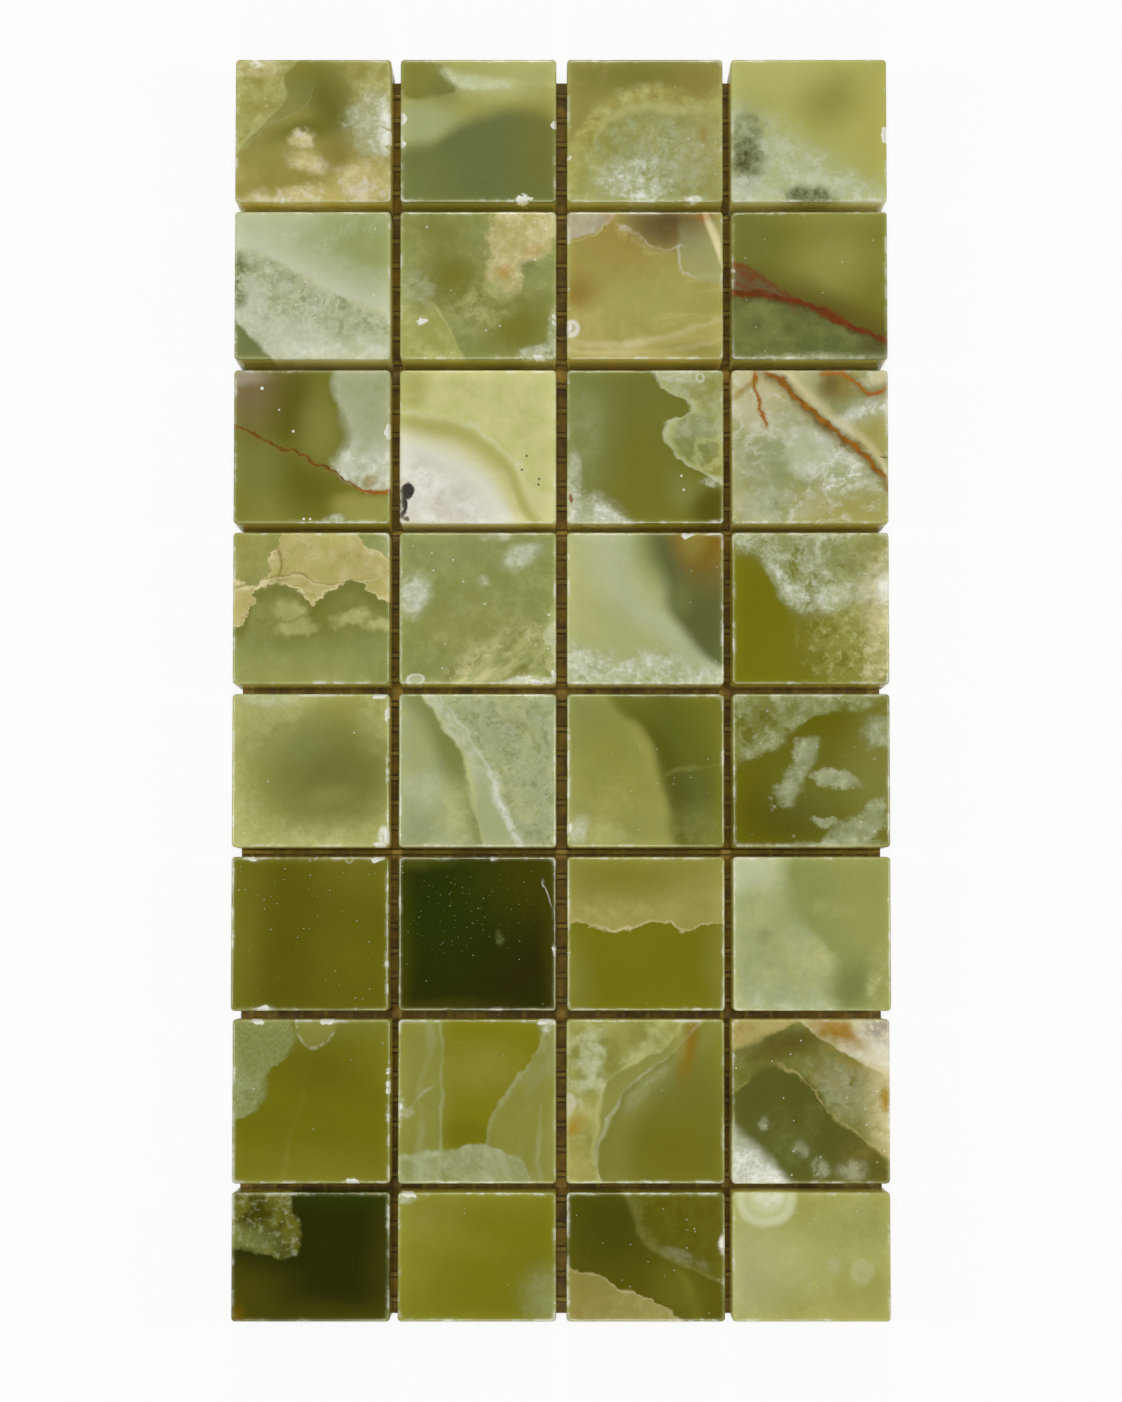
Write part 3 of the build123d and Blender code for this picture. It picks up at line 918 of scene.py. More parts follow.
@figure
def r4_c1(f):
    """A scalloped tan crust over the upper half, olive-green with pale blots below."""
    f.base("fern", 0.96)
    f.lay("straw", f.blob(0.08, 0.12, 0.25, 0.2, edge=0.6), 0.7, 0.8)
    f.lay("olive", f.blob(0.5, 0.55, 0.45, 0.16, edge=0.8), 0.7, 1.05)
    f.lay("leaf", f.blob(0.3, 0.92, 0.5, 0.12, edge=0.9), 0.45, 1.0)
    f.cloud("lime", None, 0.2, 4)
    blots = f.blob(0.36, 0.5, 0.1, 0.07, 0, 0.7, "ragged").most(
        f.blob(0.41, 0.62, 0.12, 0.05, 0, 0.5, "ragged")
    )
    blots = blots.most(f.blob(0.76, 0.56, 0.11, 0.05, 8, 0.6, "ragged")).most(
        f.blob(0.93, 0.61, 0.08, 0.04, 0, 0.6, "ragged")
    )
    f.lay("lime", blots, 0.45)
    f.cloud("lime", blots, 0.7, 8, 1.05)
    f.cloud("sage", f.blob(0.98, 0.1, 0.08, 0.12, edge=0.6), 0.8, 6)
    low = [
        (0, 0.62), (0.05, 0.62), (0.1, 0.52), (0.14, 0.37), (0.22, 0.34), (0.39, 0.365), (0.47, 0.42),
        (0.51, 0.47), (0.54, 0.43), (0.63, 0.37), (0.71, 0.335), (0.82, 0.34), (0.9, 0.4), (1, 0.44),
    ]
    top = [
        (0, 0.28), (0.09, 0.33), (0.16, 0.33), (0.23, 0.27), (0.24, 0.165), (0.29, 0.09), (0.34, -0.05),
        (0.6, -0.2), (0.81, -0.05), (0.83, 0.08), (0.9, 0.12), (1, 0.165),
    ]
    f.lay("olive", f.below(low, 0.03, "ragged") * (1 - f.fade(moved(low, 0, 0.08), 0.05)), 0.55, 0.85)
    crust = f.below(top, 0.008, "ragged") * (1 - f.below(low, 0.008, "ragged"))
    f.lay("tan", crust, 0.9, 0.98)
    f.cloud("leaf", crust, 0.7, 5, 1.15)
    f.cloud("cream", crust, 0.4, 9)
    f.lay("ochre", crust * f.curl(5, 0.03), 0.25)
    f.lay("cream", f.streak(moved(low, 0, -0.01), 0.02, "ragged") * crust, 0.9, 1.05)
    f.lay("cream", f.streak(moved(top, 0, 0.01), 0.02, "ragged") * crust, 0.8, 1.05)
    f.cloud("ochre", f.blob(0.3, 0.26, 0.05, 0.1, edge=0.8) * crust, 0.8, 8)
    f.lay(
        "ochre",
        f.strand([(0.27, 0), (0.29, 0.08), (0.31, 0.21), (0.29, 0.34), (0.26, 1)], 0.012) * crust,
        0.8,
    )
    seam = [(0, 0.35), (0.32, 0.27), (0.44, 0.24), (0.53, 0.3), (0.66, 0.33), (0.84, 0.31), (1, 0.24)]
    f.lay("ochre", f.streak(seam, 0.012) * crust, 0.8)
    f.lay("cream", f.streak(moved(seam, 0, 0.016), 0.014) * crust, 0.5)


@figure
def r4_c2(f):
    """Sage-green, yellower below, with frosty wisps and rising pale flows."""
    f.base("fern", 0.98)
    f.lay("sage", f.blob(0.3, 0.08, 0.45, 0.14, edge=0.8), 0.3, 0.88)
    f.lay("leaf", f.blob(0.45, 0.6, 0.4, 0.22, edge=0.9), 0.5, 0.82)
    f.cloud("moss", f.blob(0.4, 0.3, 0.5, 0.3, edge=0.8), 0.35, 5, 1.2)
    f.cloud("lime", None, 0.3, 5)
    flow = f.fade([(0, 1.1), (0.25, 0.95), (0.5, 0.78), (0.75, 0.64), (1, 0.5)], 0.1)
    f.lay("lime", flow * f.fog(6, 0.42, 0.66, turn=35, stretch=2.4), 0.8)
    f.lay("cream", flow * f.fog(9, 0.5, 0.68, turn=35, stretch=2.4), 0.45)
    f.lay("olive", flow * f.fog(5, 0.55, 0.7, turn=30, stretch=2.0), 0.6, 1.05)
    f.lay("cream", flow * f.curl(5), 0.5)
    wisps = f.blob(0.08, 0.4, 0.11, 0.16, edge=0.6).most(f.blob(0.79, 0.17, 0.14, 0.07, 25, 0.7))
    f.lay("mist", f.clump(wisps, 7, 0.45), 0.7)
    f.lay("snow", f.clump(wisps * wisps, 11, 0.4), 0.5)
    f.lay("frost", f.clump(f.blob(0.62, 0.05, 0.12, 0.04), 10), 0.5)
    f.cloud("frost", f.blob(0.54, 0.33, 0.05, 0.04), 0.5, 9)
    f.lay("mist", f.blob(0.1, 0.955, 0.05, 0.035, edge=0.4), 0.7)
    f.lay("snow", f.ring(0.1, 0.955, 0.052, 0.016, 0.7), 0.5)
    f.lay("snow", f.clump(f.blob(0.85, 0.985, 0.2, 0.035), 12), 0.7)
    f.lay("frost", f.clump(f.blob(0.98, 0.66, 0.05, 0.12, edge=0.7), 12), 0.6)
    f.lay("snow", f.specks(15, 0.13, 0.65), 0.7)


@figure
def r4_c3(f):
    """Light yellow-green with a pale band, a dark green wedge, a rusty tint above it and frost below."""
    f.base("sage", 0.96)
    f.lay("leaf", f.blob(0.3, 0.5, 0.5, 0.5, edge=0.9), 0.35, 1.1)
    f.lay("lime", f.blob(0.06, 0.3, 0.22, 0.36, edge=0.7), 0.75, 0.9)
    f.lay("lime", f.blob(0.3, 0.75, 0.4, 0.16, edge=0.9), 0.4, 0.9)
    pale = [(0.22, 0), (0.26, 0.12), (0.34, 0.33), (0.5, 0.55), (0.78, 0.76), (1.1, 1)]
    f.lay("mist", f.band(pale, 0.3, "v"), 0.55, 1.03)
    f.lay("lime", f.clump(f.blob(0.52, 0.3, 0.1, 0.2, 10, 0.8), 9, 0.4), 0.4)
    f.lay("fern", f.blob(0.53, 0.1, 0.09, 0.24, 12, 0.8), 0.7, 0.85)
    wedge = [(0.5, -0.05), (0.56, 0.18), (0.61, 0.33), (0.62, 0.48), (0.69, 0.6), (0.86, 0.77), (1.2, 1)]
    f.lay("moss", f.fade(wedge, 0.08, "v"), 0.95, 0.82)
    f.lay("deep", f.blob(0.88, 0.58, 0.14, 0.2, edge=0.8), 0.3)
    f.lay("fern", f.blob(0.72, 0.45, 0.06, 0.12, edge=0.8), 0.3)
    rusty = f.fade(moved(wedge, 0.12, 0), 0.1, "v") * f.upto("v", 0.5, 0.08)
    f.lay("ochre", rusty, 0.85, 0.85)
    f.lay("amber", rusty * f.fog(5, 0.4, 0.66, turn=90, stretch=3), 0.6, 0.75)
    f.lay("straw", f.blob(0.8, 0.06, 0.08, 0.1, edge=0.8), 0.4, 0.9)
    f.lay(
        "rust",
        f.strand([(0.7, 0), (0.72, 0.11), (0.74, 0.24), (0.8, 1)], 0.03) * f.upto("v", 0.32, 0.18),
        0.3,
        0.7,
    )
    frost = f.fade([(0, 0.76), (0.3, 0.82), (0.6, 0.82), (0.8, 0.88), (1, 0.92)], 0.09)
    f.cloud("moss", frost, 0.5, 13, 1.2)
    f.lay("mist", f.clump(frost * 0.85, 10), 0.6, 1.05)
    f.cloud("snow", frost, 0.7, 15)
    f.lay("frost", f.specks(18, 0.12, 0.7), 0.5)


@figure
def r4_c4(f):
    """Solid olive at the lower left, broken frost above and cream at the right."""
    f.base("gold", 0.92)
    f.lay("olive", f.blob(0.72, 0.78, 0.3, 0.25, edge=0.8), 0.5, 1.05)
    mottle = f.blob(0.78, 0.74, 0.26, 0.28, edge=0.7)
    f.lay("leaf", f.clump(mottle * 0.9, 10), 0.7, 1.05)
    f.lay("lime", mottle * f.fog(19, 0.5, 0.68), 0.6)
    edge = [
        (0, 0.06), (0.05, 0.1), (0.16, 0.18), (0.24, 0.33), (0.32, 0.46), (0.42, 0.52), (0.57, 0.535),
        (0.75, 0.5), (1, 0.52),
    ]
    upper = f.clump(1 - f.below(edge, 0.09, "wavy"), 9)
    f.lay("sage", upper, 0.9, 0.88)
    f.cloud("mist", upper, 0.8, 6)
    f.lay("frost", upper * f.curl(6), 0.7)
    rim = f.clump(f.band(moved(edge, 0.02, -0.09), 0.15) * f.upto("u", 0.12, 0.3), 10)
    f.lay("frost", rim, 0.4)
    f.cloud("snow", rim, 0.6, 14)
    dark = f.blob(0.82, 0.28, 0.2, 0.2, edge=0.8).most(f.blob(0.84, 0.55, 0.12, 0.14, edge=0.8))
    f.lay("olive", f.clump(dark * 0.85, 11), 0.7, 1.05)
    f.lay("leaf", f.blob(0.875, 0.08, 0.16, 0.12, edge=0.6), 0.6, 0.85)
    f.lay("lime", f.clump(f.blob(0.8, 0.42, 0.22, 0.3, edge=0.8) * 0.75, 14), 0.5)
    f.cloud("cream", f.blob(0.97, 0.5, 0.12, 0.4, edge=0.6), 1.0, 7)
    f.lay("cream", f.clump(f.blob(0.98, 0.46, 0.09, 0.2, 0, 0.6), 8), 0.8)
    f.lay("snow", f.clump(f.blob(0.96, 0.38, 0.06, 0.1, 0, 0.6), 8), 0.85)
    side = f.clump(
        f.fade(
            [(0.95, 0), (0.9, 0.5), (0.86, 0.65), (0.84, 0.8), (0.86, 1)], 0.09, "v"
        ) * f.upto("v", 0.4, 0.6),
        9,
    )
    f.lay("lime", side, 0.6, 0.9)
    f.cloud("cream", side, 0.8, 9)


@figure
def r5_c1(f):
    """Soft leaf-green round one dark olive cloud."""
    f.base("leaf", 0.92)
    f.cloud("lime", None, 0.5, 3)
    f.lay("olive", f.blob(0.64, 0.54, 0.36, 0.28, 10, 0.9), 0.95, 1.05)
    f.lay("moss", f.blob(0.66, 0.56, 0.34, 0.28, 10, 0.9), 0.5, 1.15)
    f.lay("fern", f.blob(0.34, 0.3, 0.26, 0.14, edge=0.9), 0.6, 0.88)
    f.lay("leaf", f.blob(0.6, 0.66, 0.14, 0.06, 10, 0.9), 0.35)
    f.lay("lime", f.clump(f.blob(0.2, 0.22, 0.26, 0.14, 30, 0.9) * 0.85, 5, 0.45), 0.4)
    f.lay("lime", f.clump(f.blob(0.5, 0.96, 0.5, 0.12, edge=0.8), 5, 0.45), 0.65)
    f.lay("lime", f.clump(f.blob(0.05, 0.83, 0.14, 0.22, edge=0.8), 5, 0.45), 0.6)
    f.lay("mist", f.clump(f.blob(0.2, 0.02, 0.22, 0.07, edge=0.8), 6, 0.45), 0.6)
    f.lay("lime", f.clump(f.blob(0.94, 0.15, 0.12, 0.2, edge=0.8), 6, 0.45), 0.55)
    f.lay("snow", f.clump(f.blob(0.965, 0.94, 0.04, 0.06), 9), 0.8)
    f.lay("snow", f.specks(13, 0.1, 0.8), 0.6)


@figure
def r5_c2(f):
    """Sage with a white ribbon running down it, a darker band on its left and mottling on its right."""
    f.base("sage", 0.92)
    f.cloud("mist", None, 0.4, 5)
    f.cloud("leaf", f.blob(0.1, 0.3, 0.2, 0.35, edge=0.8), 0.6, 5)
    thin = [(0.16, 0), (0.29, 0.21), (0.42, 0.42), (0.46, 0.6), (0.5, 0.8), (0.54, 1)]
    vein = [
        (0.25, 0), (0.35, 0.13), (0.45, 0.28), (0.52, 0.41), (0.6, 0.56), (0.64, 0.72), (0.69, 0.85),
        (0.8, 1),
    ]
    dark = f.fade(
        [(0.02, 0), (0.14, 0.16), (0.24, 0.36), (0.33, 0.55), (0.4, 0.72), (0.46, 1)], 0.09, "v"
    ) * (1 - f.right(thin, 0.02))
    f.lay("fern", dark, 0.85, 0.85)
    f.lay("olive", dark * f.blob(0.32, 0.38, 0.16, 0.3, -25, 0.9), 0.4, 1.1)
    right = f.right(vein, 0.04)
    f.lay("fern", right, 0.35, 1.12)
    f.lay("moss", f.clump(right * 0.72, 17, 0.2), 0.75, 1.05)
    f.lay("moss", f.clump(f.blob(0.7, 0.14, 0.18, 0.16, edge=0.8), 7, 0.4), 0.4, 1.2)
    f.lay("mist", f.clump(right * 0.72, 14, 0.2), 0.8)
    f.cloud("lime", right, 0.4, 6)
    ribbon = f.right(thin, 0.02) * (1 - right)
    f.lay("sage", ribbon, 0.6, 1.02)
    f.lay("frost", f.clump(ribbon * f.upto("v", 0.75, 0.3), 8, 0.4), 0.55)
    f.lay("lime", f.strand(thin, 0.022, "frilly"), 0.7, 1.05)
    f.lay("frost", f.strand(vein, 0.018, "frilly"), 0.6)
    f.lay("snow", f.clump(f.band(moved(vein, 0.01, 0), 0.07, "v") * f.upto("v", 0.35, 0.7), 12), 0.55)
    f.lay("mist", f.clump(f.blob(0.16, 0.62, 0.14, 0.12, edge=0.8), 7, 0.4), 0.6)
    f.lay("lime", f.clump(f.blob(0.36, 0.78, 0.14, 0.2, edge=0.8), 7, 0.4), 0.6)
    f.lay("moss", f.clump(f.blob(0.14, 0.9, 0.2, 0.12, edge=0.8), 9, 0.4), 0.4, 1.3)
    f.lay("frost", f.specks(18, 0.12, 0.7), 0.5)


@figure
def r5_c3(f):
    """Yellow-green folding over a crease into darker green."""
    f.base("leaf", 0.9)
    f.lay("lime", f.blob(0.08, 0.72, 0.22, 0.24, edge=0.8), 0.25, 0.85)
    f.lay("citron", f.blob(0.3, 0.5, 0.24, 0.4, edge=0.9), 0.65)
    f.lay("fern", f.blob(0.1, 0.15, 0.25, 0.2, edge=0.8), 0.5, 0.92)
    f.cloud("fern", None, 0.5, 4, 0.95)
    f.lay("lime", f.clump(f.blob(0.28, 0.72, 0.28, 0.26, edge=0.9) * 0.85, 5, 0.45), 0.3, 0.95)
    crease = [(0.26, 0), (0.32, 0.08), (0.46, 0.24), (0.57, 0.41), (0.62, 0.56), (0.65, 0.77), (0.69, 1)]
    dark = f.fade(crease, 0.07, "v")
    f.lay("olive", dark, 0.95, 0.98)
    f.lay("bottle", dark * f.blob(0.74, 0.4, 0.36, 0.5, edge=0.9), 0.45, 2.6)
    f.lay("moss", dark * f.blob(0.78, 0.64, 0.14, 0.14, 0, 0.6), 0.5, 0.75)
    f.lay("citron", dark * f.fade([(0.75, 0), (0.85, 0.3), (0.92, 0.6), (0.86, 1)], 0.2, "v"), 0.4, 0.9)
    f.lay("deep", f.band(moved(crease, 0.07, 0), 0.14, "v") * f.upto("v", 0.05, 0.3), 0.5, 0.85)
    f.lay("leaf", f.strand(moved(crease, -0.03, 0), 0.06), 0.4, 1.1)
    f.lay("fern", f.clump(f.blob(0.82, 0.88, 0.2, 0.16, edge=0.8), 6, 0.45), 0.5)
    f.lay(
        "leaf",
        f.streak([(0, 0.6), (0.62, 0.52), (0.75, 0.48), (1, 0.44)], 0.025) * f.upto("u", 0.6, 0.66),
        0.35,
    )
    f.lay("frost", f.clump(f.blob(0.07, 0.88, 0.08, 0.1, edge=0.7), 8, 0.4), 0.7)
    f.lay("lime", f.clump(f.blob(0.24, 0.92, 0.14, 0.1, edge=0.7), 6, 0.4), 0.5)
    f.lay("frost", f.specks(18, 0.11, 0.75), 0.5)


@figure
def r5_c4(f):
    """Dark olive with islands of frost."""
    f.base("gold", 0.7)
    f.lay("leaf", f.blob(0.95, 0.45, 0.2, 0.45, edge=0.8), 0.45, 0.82)
    f.lay("deep", f.blob(0.36, 0.78, 0.24, 0.16, edge=0.8), 0.7, 0.75)
    corner = 1 - f.below(
        [(0, 0.47), (0.23, 0.38), (0.36, 0.3), (0.44, 0.2), (0.6, 0.12), (0.9, 0.1), (1, 0.02)], 0.06
    )
    corner = f.clump(corner * 0.95, 6)
    f.lay("fern", corner, 0.85, 1.0)
    f.cloud("mist", corner, 0.9, 6)
    f.cloud("olive", corner, 0.5, 5, 0.95)
    isle = f.vein(
        [(0.6, 0.0), (0.5, 0.31), (0.43, 0.485), (0.33, 0.66), (0.2, 1)], 0.1, "v", "ragged"
    ) * f.blob(0.43, 0.5, 0.2, 0.22, 0, 0.2, "ragged")
    isles = isle.most(f.blob(0.67, 0.55, 0.14, 0.06, -10, 0.3, "ragged")).most(
        f.blob(0.77, 0.9, 0.2, 0.1, 25, 0.3, "ragged")
    )
    isles = isles.most(f.blob(0.9, 0.76, 0.1, 0.06, 40, 0.4, "ragged")).most(
        f.blob(0.58, 0.83, 0.08, 0.03, -10, 0.4, "ragged")
    )
    isles = isles.most(f.blob(0.93, 0.25, 0.1, 0.08, 0, 0.6, "ragged"))
    f.lay("fern", f.blob(0.62, 0.62, 0.3, 0.24, edge=0.9), 0.25, 0.95)
    f.lay("sage", isles, 0.7, 0.9)
    f.cloud("mist", isles, 0.95, 11)
    f.cloud("moss", isles, 0.5, 8, 1.1)
    f.lay("snow", f.specks(22, 0.2, 0.7) * isles.most(corner), 0.5)
    f.lay("mist", f.fog(16, 0.62, 0.74), 0.4)
    f.lay("mist", f.clump(f.blob(0.5, 1.0, 0.5, 0.04, edge=0.8), 11), 0.5)


@figure
def r6_c1(f):
    """Nearly even deep olive, lighter at the left."""
    f.base("deep", 1.12)
    f.lay("citron", f.blob(0.0, 0.5, 0.2, 0.7, edge=0.8), 0.45, 0.8)
    f.lay("citron", f.blob(0.9, 0.1, 0.3, 0.16, edge=0.8), 0.35, 0.8)
    f.lay("deep", f.blob(0.36, 0.66, 0.16, 0.5, edge=0.8), 0.6, 0.92)
    f.lay("olive", f.blob(0.5, 0.0, 0.5, 0.05, edge=0.8), 0.4, 1.1)
    f.lay("gold", f.blob(0.8, 0.7, 0.2, 0.3, edge=0.9), 0.4, 0.85)
    f.lay("mist", f.ring(0.75, 0.03, 0.025, 0.012), 0.35)
    f.lay("snow", f.specks(24, 0.1, 0.75), 0.85)
    f.lay("frost", f.specks(37, 0.13, 0.82), 0.6)


@figure
def r6_c2(f):
    """The darkest chip: bottle green turning brown-black, lighter towards its top right."""
    f.base("dark", 1.0)
    f.lay("bottle", f.blob(0.3, 0.36, 0.36, 0.42, edge=0.8), 0.95, 1.15)
    f.lay("umber", f.blob(0.66, 0.74, 0.36, 0.28, edge=0.9), 0.25, 0.35)
    f.lay("deep", f.blob(0.95, 0.1, 0.4, 0.3, edge=0.9), 0.5, 0.75)
    f.lay("olive", f.blob(0.06, 0.02, 0.3, 0.05, edge=0.9), 0.45, 0.7)
    f.lay("deep", f.blob(0.0, 0.6, 0.08, 0.5, edge=0.9), 0.5, 0.75)
    f.lay("deep", f.blob(0.98, 0.6, 0.06, 0.5, edge=0.9), 0.4, 0.65)
    f.lay("deep", f.blob(0.2, 0.98, 0.4, 0.05, edge=0.9), 0.4, 0.7)
    f.lay(
        "frost",
        f.vein(
            [(0.9, 0), (0.92, 0.16), (0.945, 0.23), (0.97, 0.31), (1.1, 1)], 0.008, "v"
        ) * f.upto("v", 0.34, 0.28) * f.upto("v", 0.12, 0.18),
        0.6,
    )
    f.lay("fern", f.clump(f.blob(0.63, 0.51, 0.03, 0.04, edge=0.8), 16, 0.4), 0.5)
    f.lay("frost", f.specks(27, 0.11, 0.7), 0.75)
    f.lay("sage", f.specks(42, 0.17, 0.6) * f.blob(0.45, 0.35, 0.4, 0.3), 0.6)


@figure
def r6_c3(f):
    """Two bands: tan-olive above a wavy border, plain golden olive below."""
    f.base("gold", 0.94)
    border = [
        (0, 0.453), (0.1, 0.43), (0.2, 0.46), (0.31, 0.48), (0.44, 0.453), (0.57, 0.417), (0.65, 0.43),
        (0.71, 0.475), (0.8, 0.467), (0.9, 0.438), (1, 0.438),
    ]
    upper = 1 - f.below(border, 0.007, "frilly")
    f.lay("straw", upper, 0.9, 0.72)
    f.lay("citron", upper, 0.4, 0.95)
    f.lay("tan", upper * f.upto("v", 0.05, 0.45), 0.3, 0.95)
    f.cloud("tan", upper * f.blob(0.82, 0.32, 0.2, 0.14, edge=0.8), 0.7, 4)
    f.cloud("tan", upper * f.blob(0.3, 0.36, 0.3, 0.1, edge=0.8), 0.5, 5)
    f.lay("gold", upper * f.blob(0.37, 0.14, 0.24, 0.12, edge=0.9), 0.5)
    f.lay("leaf", upper * f.blob(0.95, 0.2, 0.08, 0.2, edge=0.8), 0.3)
    f.lay("cream", f.streak(moved(border, 0, -0.006), 0.014, "frilly"), 0.6)
    f.lay("leaf", f.blob(0.0, 0.8, 0.14, 0.3, edge=0.8), 0.3, 0.85)
    f.lay("leaf", f.blob(0.98, 0.7, 0.1, 0.4, edge=0.8), 0.25, 0.85)
    f.lay("frost", f.specks(14, 0.05, 0.6), 0.6)


@figure
def r6_c4(f):
    """Sage on the left of a soft slanting border, yellow-green on the right."""
    f.base("sage", 0.94)
    f.cloud("lime", None, 0.6, 4)
    f.lay("mist", f.blob(0.06, 0.06, 0.22, 0.16, edge=0.7), 0.75, 1.04)
    f.cloud("fern", f.blob(0.25, 0.6, 0.3, 0.3, edge=0.8), 0.5, 6, 1.1)
    f.lay("moss", f.blob(0.2, 0.52, 0.05, 0.05, edge=0.8), 0.3)
    border = [(0.32, 0), (0.34, 0.19), (0.4, 0.38), (0.49, 0.495), (0.6, 0.6), (0.66, 0.75), (0.68, 1)]
    f.lay("fern", f.right(border, 0.05), 0.9, 1.12)
    f.lay("leaf", f.fade(moved(border, 0.2, 0), 0.2, "v"), 0.6, 0.95)
    f.lay("fern", f.blob(0.5, 0.2, 0.16, 0.24, edge=0.8), 0.5, 0.98)
    f.lay("fern", f.blob(0.76, 0.84, 0.14, 0.16, edge=0.8), 0.9, 0.8)
    f.cloud("lime", f.blob(0.94, 0.82, 0.08, 0.18, edge=0.7), 0.8, 5)
    f.cloud("lime", f.blob(0.64, 0.34, 0.14, 0.06, -10, 0.8), 0.4, 6)
    f.cloud("lime", f.blob(0.57, 0.62, 0.06, 0.08, edge=0.6), 0.8, 7)
    f.cloud("mist", f.blob(0.3, 0.94, 0.3, 0.08, edge=0.6), 0.9, 7)
    f.cloud("fern", f.blob(0.45, 0.9, 0.12, 0.12, edge=0.7), 0.4, 6)


@figure
def r7_c1(f):
    """Deep olive with a granular grey-green patch at the upper left."""
    f.base("gold", 0.86)
    f.lay("deep", f.blob(0.55, 0.28, 0.25, 0.14, edge=0.9), 0.5, 1.02)
    f.lay("citron", f.blob(0.5, 0.98, 0.5, 0.16, edge=0.9), 0.5, 0.9)
    f.lay("citron", f.blob(0.98, 0.1, 0.2, 0.2, edge=0.9), 0.4, 0.9)
    f.lay("fern", f.blob(0.55, 0.0, 0.5, 0.1, edge=0.9), 0.35, 0.8)
    edge = [
        (0.35, 0), (0.4, 0.15), (0.32, 0.24), (0.22, 0.31), (0.2, 0.43), (0.14, 0.56), (-0.05, 0.65),
        (-0.2, 1),
    ]
    patch = 1 - f.right(edge, 0.025, "frilly")
    f.lay("fern", patch, 0.85, 0.9)
    f.lay("sage", patch * f.fog(50, 0.4, 0.65), 0.3)
    f.cloud("mist", patch * f.blob(0.08, 0.5, 0.14, 0.2, edge=0.8), 0.4, 7)
    f.lay("leaf", f.blob(0.53, 0.02, 0.12, 0.13, edge=0.25), 0.45, 0.9)
    f.lay("mist", f.ring(0.53, 0.02, 0.12, 0.014, 1.15) * f.fog(14, 0.45, 0.6), 0.4)
    f.lay(
        "leaf",
        f.strand([(0.44, 0), (0.44, 0.45), (0.36, 0.7), (0.3, 1)], 0.03) * f.upto("v", 0.35, 0.5),
        0.12,
    )
    f.lay("frost", f.specks(16, 0.11, 0.75), 0.5)


@figure
def r7_c2(f):
    """Olive-yellow crossed by pale planes, with a paler band along the bottom."""
    f.base("gold", 1.1)
    f.lay("leaf", f.blob(0.08, 0.4, 0.2, 0.5, edge=0.7), 0.6, 0.88)
    f.lay("straw", f.blob(0.52, 0.3, 0.22, 0.14, edge=0.9), 0.35, 0.82)
    f.lay("gold", f.blob(0.43, 0.71, 0.15, 0.07, edge=0.5), 0.7, 0.84)
    line = [(0.94, 0), (0.91, 0.12), (0.84, 0.27), (0.73, 0.4), (0.63, 0.55), (0.56, 0.745), (0.55, 1)]
    plane = f.right(line, 0.012)
    f.lay("leaf", plane, 0.5, 0.86)
    f.lay("sage", plane * f.fog(5, 0.42, 0.7, turn=60, stretch=3), 0.4, 0.86)
    f.lay("sage", f.strand(line, 0.02, "frilly"), 0.6)
    f.lay("sage", f.strand([(0.9, 0), (0.93, 0.3), (0.89, 0.6), (0.9, 1)], 0.025), 0.4)
    f.lay("sage", f.strand([(0.2, 0), (0.19, 0.2), (0.15, 0.4), (0.14, 0.7), (0.13, 1)], 0.04), 0.5)
    one = [(0.26, 0), (0.27, 0.2), (0.28, 0.42), (0.27, 0.8), (0.26, 1)]
    f.lay(
        "fern",
        (1 - f.right(one, 0.012)) * f.right([(0.17, 0), (0.2, 0.3), (0.14, 0.8), (0.1, 1)], 0.08),
        0.35,
        1.05,
    )
    f.lay("sage", f.strand(one, 0.02), 0.6)
    f.lay(
        "mist",
        f.streak([(0, 0.6), (0.03, 0.58), (0.2, 0.43), (0.4, 0.3), (1, 0)], 0.02) * f.upto("u", 0.26, 0.18),
        0.6,
    )
    f.cloud("frost", f.blob(0.05, 0.53, 0.06, 0.07), 0.8, 9)
    band = [
        (0, 0.84), (0.14, 0.81), (0.35, 0.785), (0.55, 0.765), (0.69, 0.81), (0.8, 0.88), (0.86, 1.05),
        (1, 1.4),
    ]
    low = f.below(band, 0.015, "frilly")
    f.lay("sage", low, 0.5, 0.82)
    f.cloud("mist", low, 0.45, 6)
    f.lay("mist", low * f.fog(6, 0.5, 0.62, turn=-50, stretch=3), 0.3)
    f.cloud("mist", f.streak(moved(band, 0, 0.015), 0.03) * low, 0.8, 9)
    f.cloud("snow", f.blob(0.97, 0.05, 0.05, 0.05), 0.9, 8)
    f.lay("frost", f.specks(14, 0.06, 0.65), 0.5)


